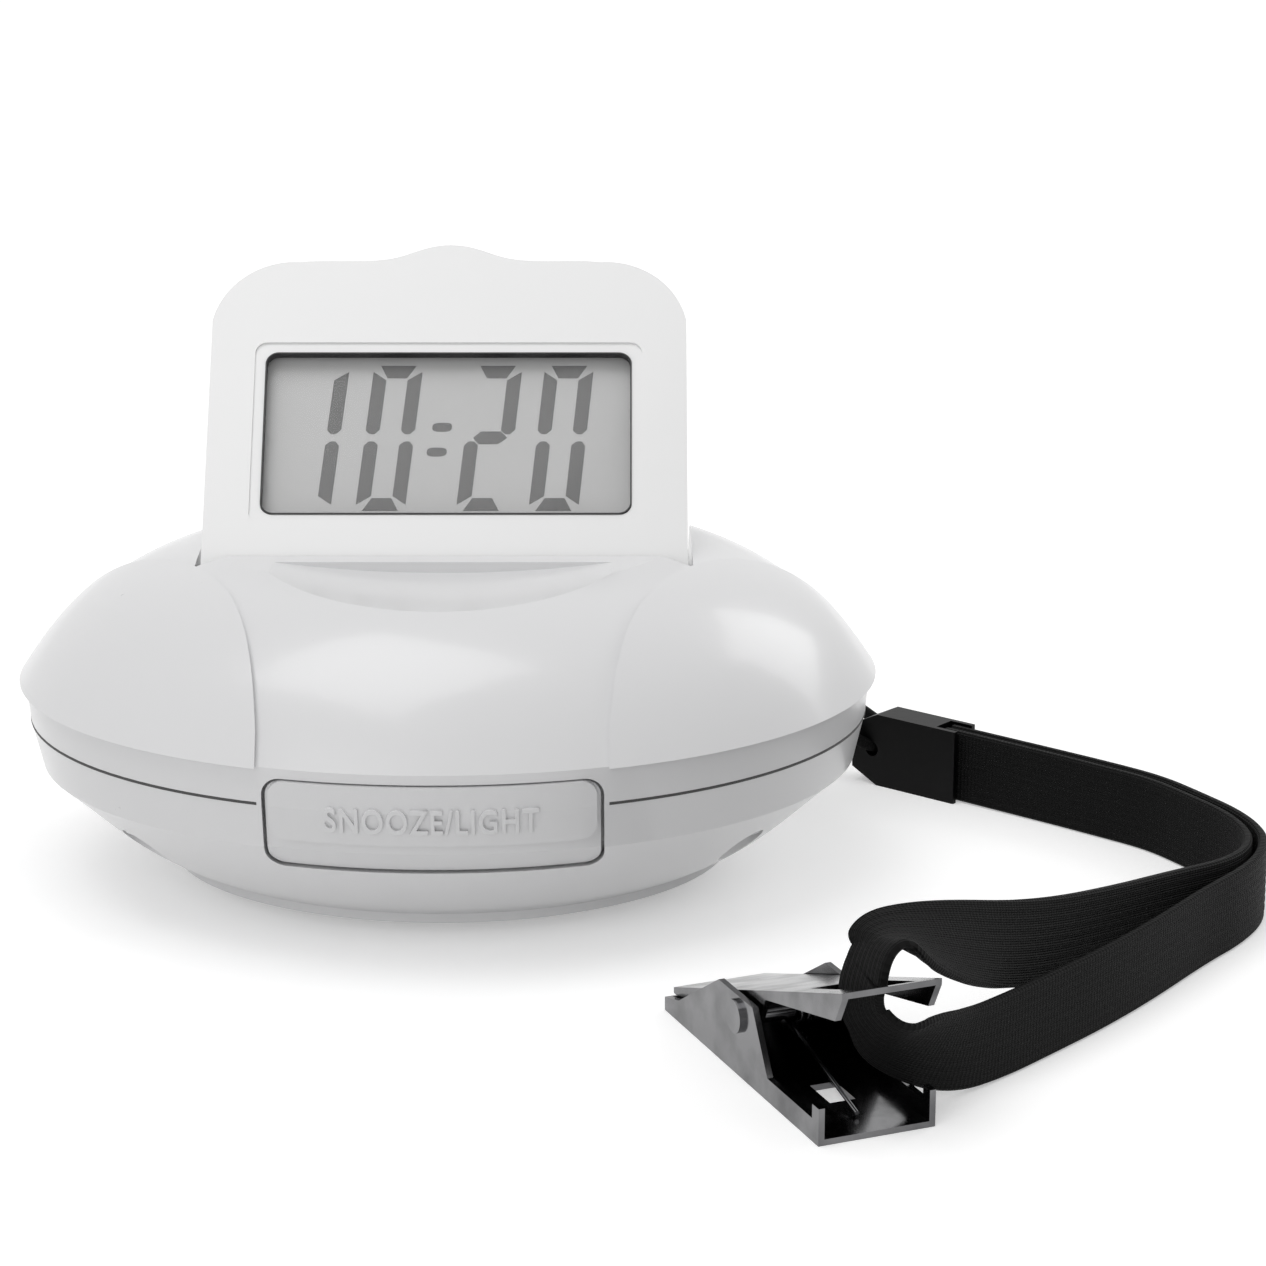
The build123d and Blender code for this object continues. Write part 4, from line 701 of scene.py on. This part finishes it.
def wordMesh(text):
    # one word, flat, with its letters standing up
    data = bpy.data.curves.new("word", "FONT")
    data.body = text
    data.size = keyWords["size"] * mm
    data.space_character = keyWords["spread"]
    data.align_x = "CENTER"
    data.resolution_u = keyWords["curveSteps"]
    data.extrude = keyWords["depth"] / 2 * mm
    holder = addObject("wordHolder", data)
    mesh = bpy.data.meshes.new_from_object(holder)
    bpy.data.objects.remove(holder)
    return mesh


shell = nodes["top_shell"]
allWords = bmesh.new()
for text, x, y in keyWords["shown"]:
    spot, out = floorBelow(shell, x, y)
    if spot is None:
        continue
    ahead = Vector((0, -1, 0))
    ahead = (ahead - out * ahead.dot(out)).normalized()
    across = ahead.cross(out)
    one = wordMesh(text)
    for v in one.vertices:
        v.co = spot + across * v.co.x + ahead * v.co.y + out * v.co.z
    allWords.from_mesh(one)
wordsOnFloor = bpy.data.meshes.new("keyRaisedWords")
allWords.to_mesh(wordsOnFloor)
allWords.free()
keyRaisedWords = addObject("keyRaisedWords", wordsOnFloor)
wordsOnFloor.materials.clear()
wordsOnFloor.materials.append(finishes["body_shell"])
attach(keyRaisedWords, "base")
print("key words")

# screw heads: a dark cross on each head that shows, painted shade standing in for the shade inside its cross
# recess
recess = {"arm": 1.05, "width": 0.42, "lift": 0.02, "sink": 0.15,
          "display": [(-18, -1), (18, -1), (-15, 34.5), (15, 34.5)],
          "shell": [(-36, -20), (-36, 20), (36, -20), (36, 20)]}


def crossMesh(name, spots, out, across, along):
    a, w = recess["arm"], recess["width"] / 2
    outline = [(w, w), (w, a), (-w, a), (-w, w), (-a, w), (-a, -w),
               (-w, -w), (-w, -a), (w, -a), (w, -w), (a, -w), (a, w)]
    return prismMesh(name, [[[spot + (across * x + along * y + out * level) * mm for x, y in outline]
                             for level in (recess["lift"], -recess["sink"])] for spot in spots])


def farthest(node, way):
    return max((node.matrix_world @ v.co).dot(way) for v in node.data.vertices)


recessPaintedShade = plasticMaterial("recessShadow", greyOf(34, (0, 0, 0)), 0.6)
backReach = farthest(nodes["display_screws"], -panelOut)
spots = [onPanel(x, up, 0) for x, up in recess["display"]]
spots = [v - panelOut * (backReach + v.dot(panelOut)) for v in spots]
displayCrosses = addObject("displayScrewCrosses", crossMesh("displayScrewCrosses", spots, -panelOut,
                                                            Vector((1, 0, 0)), panelUp))
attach(displayCrosses, "display")
lowReach = -farthest(nodes["shell_screws"], Vector((0, 0, -1)))
shellCrosses = addObject("shellScrewCrosses", crossMesh(
    "shellScrewCrosses", [Vector((x * mm, y * mm, lowReach)) for x, y in recess["shell"]],
    Vector((0, 0, -1)), Vector((1, 0, 0)), Vector((0, 1, 0))))
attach(shellCrosses, "base")
for cross in (displayCrosses, shellCrosses):
    cross.data.materials.append(recessPaintedShade)
print("screw recesses")

# seam: a thin dark strip of painted shade where the two shells meet, standing in for the shade in the gap,
# left out at the snooze bar's opening
seam = {"height": 0.34, "proud": 0.03, "sink": 0.2, "opening": 19.9, "steps": 220}


def seamShadeMesh():
    points, faces = [], []
    steps = seam["steps"]
    for i in range(steps + 1):
        turn = -math.pi / 2 + 2 * math.pi * i / steps
        for z in (-seam["height"] / 2, seam["height"] / 2):
            for out in (seam["proud"], -seam["sink"]):
                points.append(Vector(((body["seamLength"] + out) * math.cos(turn),
                                      (body["seamDepth"] + out) * math.sin(turn), body["seam"] + z)) * mm)
    for a in range(0, steps * 4, 4):  # four corners at each step
        b = a + 4
        middle = (points[a].x + points[b].x) / 2
        if points[a].y < 0 and abs(middle) < seam["opening"] * mm:
            continue
        faces += [(a, b, b + 2, a + 2), (a + 1, a + 3, b + 3, b + 1),
                  (a, a + 1, b + 1, b), (a + 2, b + 2, b + 3, a + 3)]
    return meshFrom("shellSeamPaintedShade", points, faces)


seamShadeStrip = addObject("shellSeamPaintedShade", seamShadeMesh())
seamShadeStrip.data.materials.append(plasticMaterial("seamShadow", greyOf(70, (0, 0, 0)), 0.6))
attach(seamShadeStrip, "base")
print("seam line")

# floor, world and lamps: plain and pale
ground = {"reach": 3.0, "colour": (0.86, 0.86, 0.86, 1), "roughness": 0.9, "shine": 0.0,
          "glow": (0.34, 0.62), "glowFrom": (0.1, 0.45)}  # glow grows with the distance in metres
room = {"colour": (1, 1, 1, 1), "light": 0.5}


def seenByEye(tree):
    # 1 for what the camera sees straight, in a gloss or through a clear part, else 0
    paths = tree.nodes.new("ShaderNodeLightPath").outputs
    straight = mathNode(tree, "ADD", paths["Is Camera Ray"], paths["Is Glossy Ray"])
    return mathNode(tree, "MINIMUM", mathNode(tree, "ADD", straight, paths["Is Transmission Ray"]), 1.0)


edge = ground["reach"]
floorMesh = meshFrom("floorSheet", [(-edge, -edge, 0), (edge, -edge, 0), (edge, edge, 0), (-edge, edge, 0)],
                     [(0, 1, 2, 3)])
floor = addObject("floorSheet", floorMesh)
floorMaterial, tree, shader = newMaterial("paleFloor")
shader.inputs["Base Color"].default_value = ground["colour"]
shader.inputs["Roughness"].default_value = ground["roughness"]
shader.inputs["Specular IOR Level"].default_value = ground["shine"]
glow = tree.nodes.new("ShaderNodeEmission")
glow.inputs["Color"].default_value = (1, 1, 1, 1)
place = tree.nodes.new("ShaderNodeTexCoord")
reach = tree.nodes.new("ShaderNodeVectorMath")
reach.operation = "LENGTH"
tree.links.new(place.outputs["Object"], reach.inputs[0])
fade = tree.nodes.new("ShaderNodeMapRange")
for label, value in zip(("From Min", "From Max", "To Min", "To Max"), ground["glowFrom"] + ground["glow"]):
    fade.inputs[label].default_value = value
tree.links.new(reach.outputs["Value"], fade.inputs["Value"])
tree.links.new(mathNode(tree, "MULTIPLY", seenByEye(tree), fade.outputs["Result"]), glow.inputs["Strength"])
joined = tree.nodes.new("ShaderNodeAddShader")
tree.links.new(shader.outputs[0], joined.inputs[0])
tree.links.new(glow.outputs[0], joined.inputs[1])
tree.links.new(joined.outputs[0], tree.nodes["Material Output"].inputs["Surface"])
floorMesh.materials.append(floorMaterial)

world = bpy.data.worlds.new("paleRoom")
bpy.context.scene.world = world
world.use_nodes = True
tree = world.node_tree
plain = tree.nodes["Background"]
plain.inputs["Color"].default_value = room["colour"]
extra = mathNode(tree, "MULTIPLY", seenByEye(tree), 1 - room["light"])
tree.links.new(mathNode(tree, "ADD", extra, room["light"]), plain.inputs["Strength"])

lamps = [
    {"name": "topSoftbox", "place": (-120, -120, 620), "aim": (0, 0, 20), "size": 420, "power": 1.35},
    {"name": "frontSoftbox", "place": (-260, -620, 320), "aim": (0, -10, 25), "size": 360, "power": 0.6},
    {"name": "rimSoftbox", "place": (420, 260, 330), "aim": (0, 0, 20), "size": 260, "power": 0.5},
]
for lamp in lamps:
    data = bpy.data.lights.new(lamp["name"], "AREA")
    data.size = lamp["size"] * mm
    data.energy = lamp["power"]
    holder = addObject(lamp["name"], data)
    holder.location = Vector(lamp["place"]) * mm
    holder.rotation_euler = (Vector(lamp["aim"]) - Vector(lamp["place"])).to_track_quat("-Z", "Y").to_euler()
print("floor and lamps")

bpy.context.scene.view_settings.view_transform = "Standard"
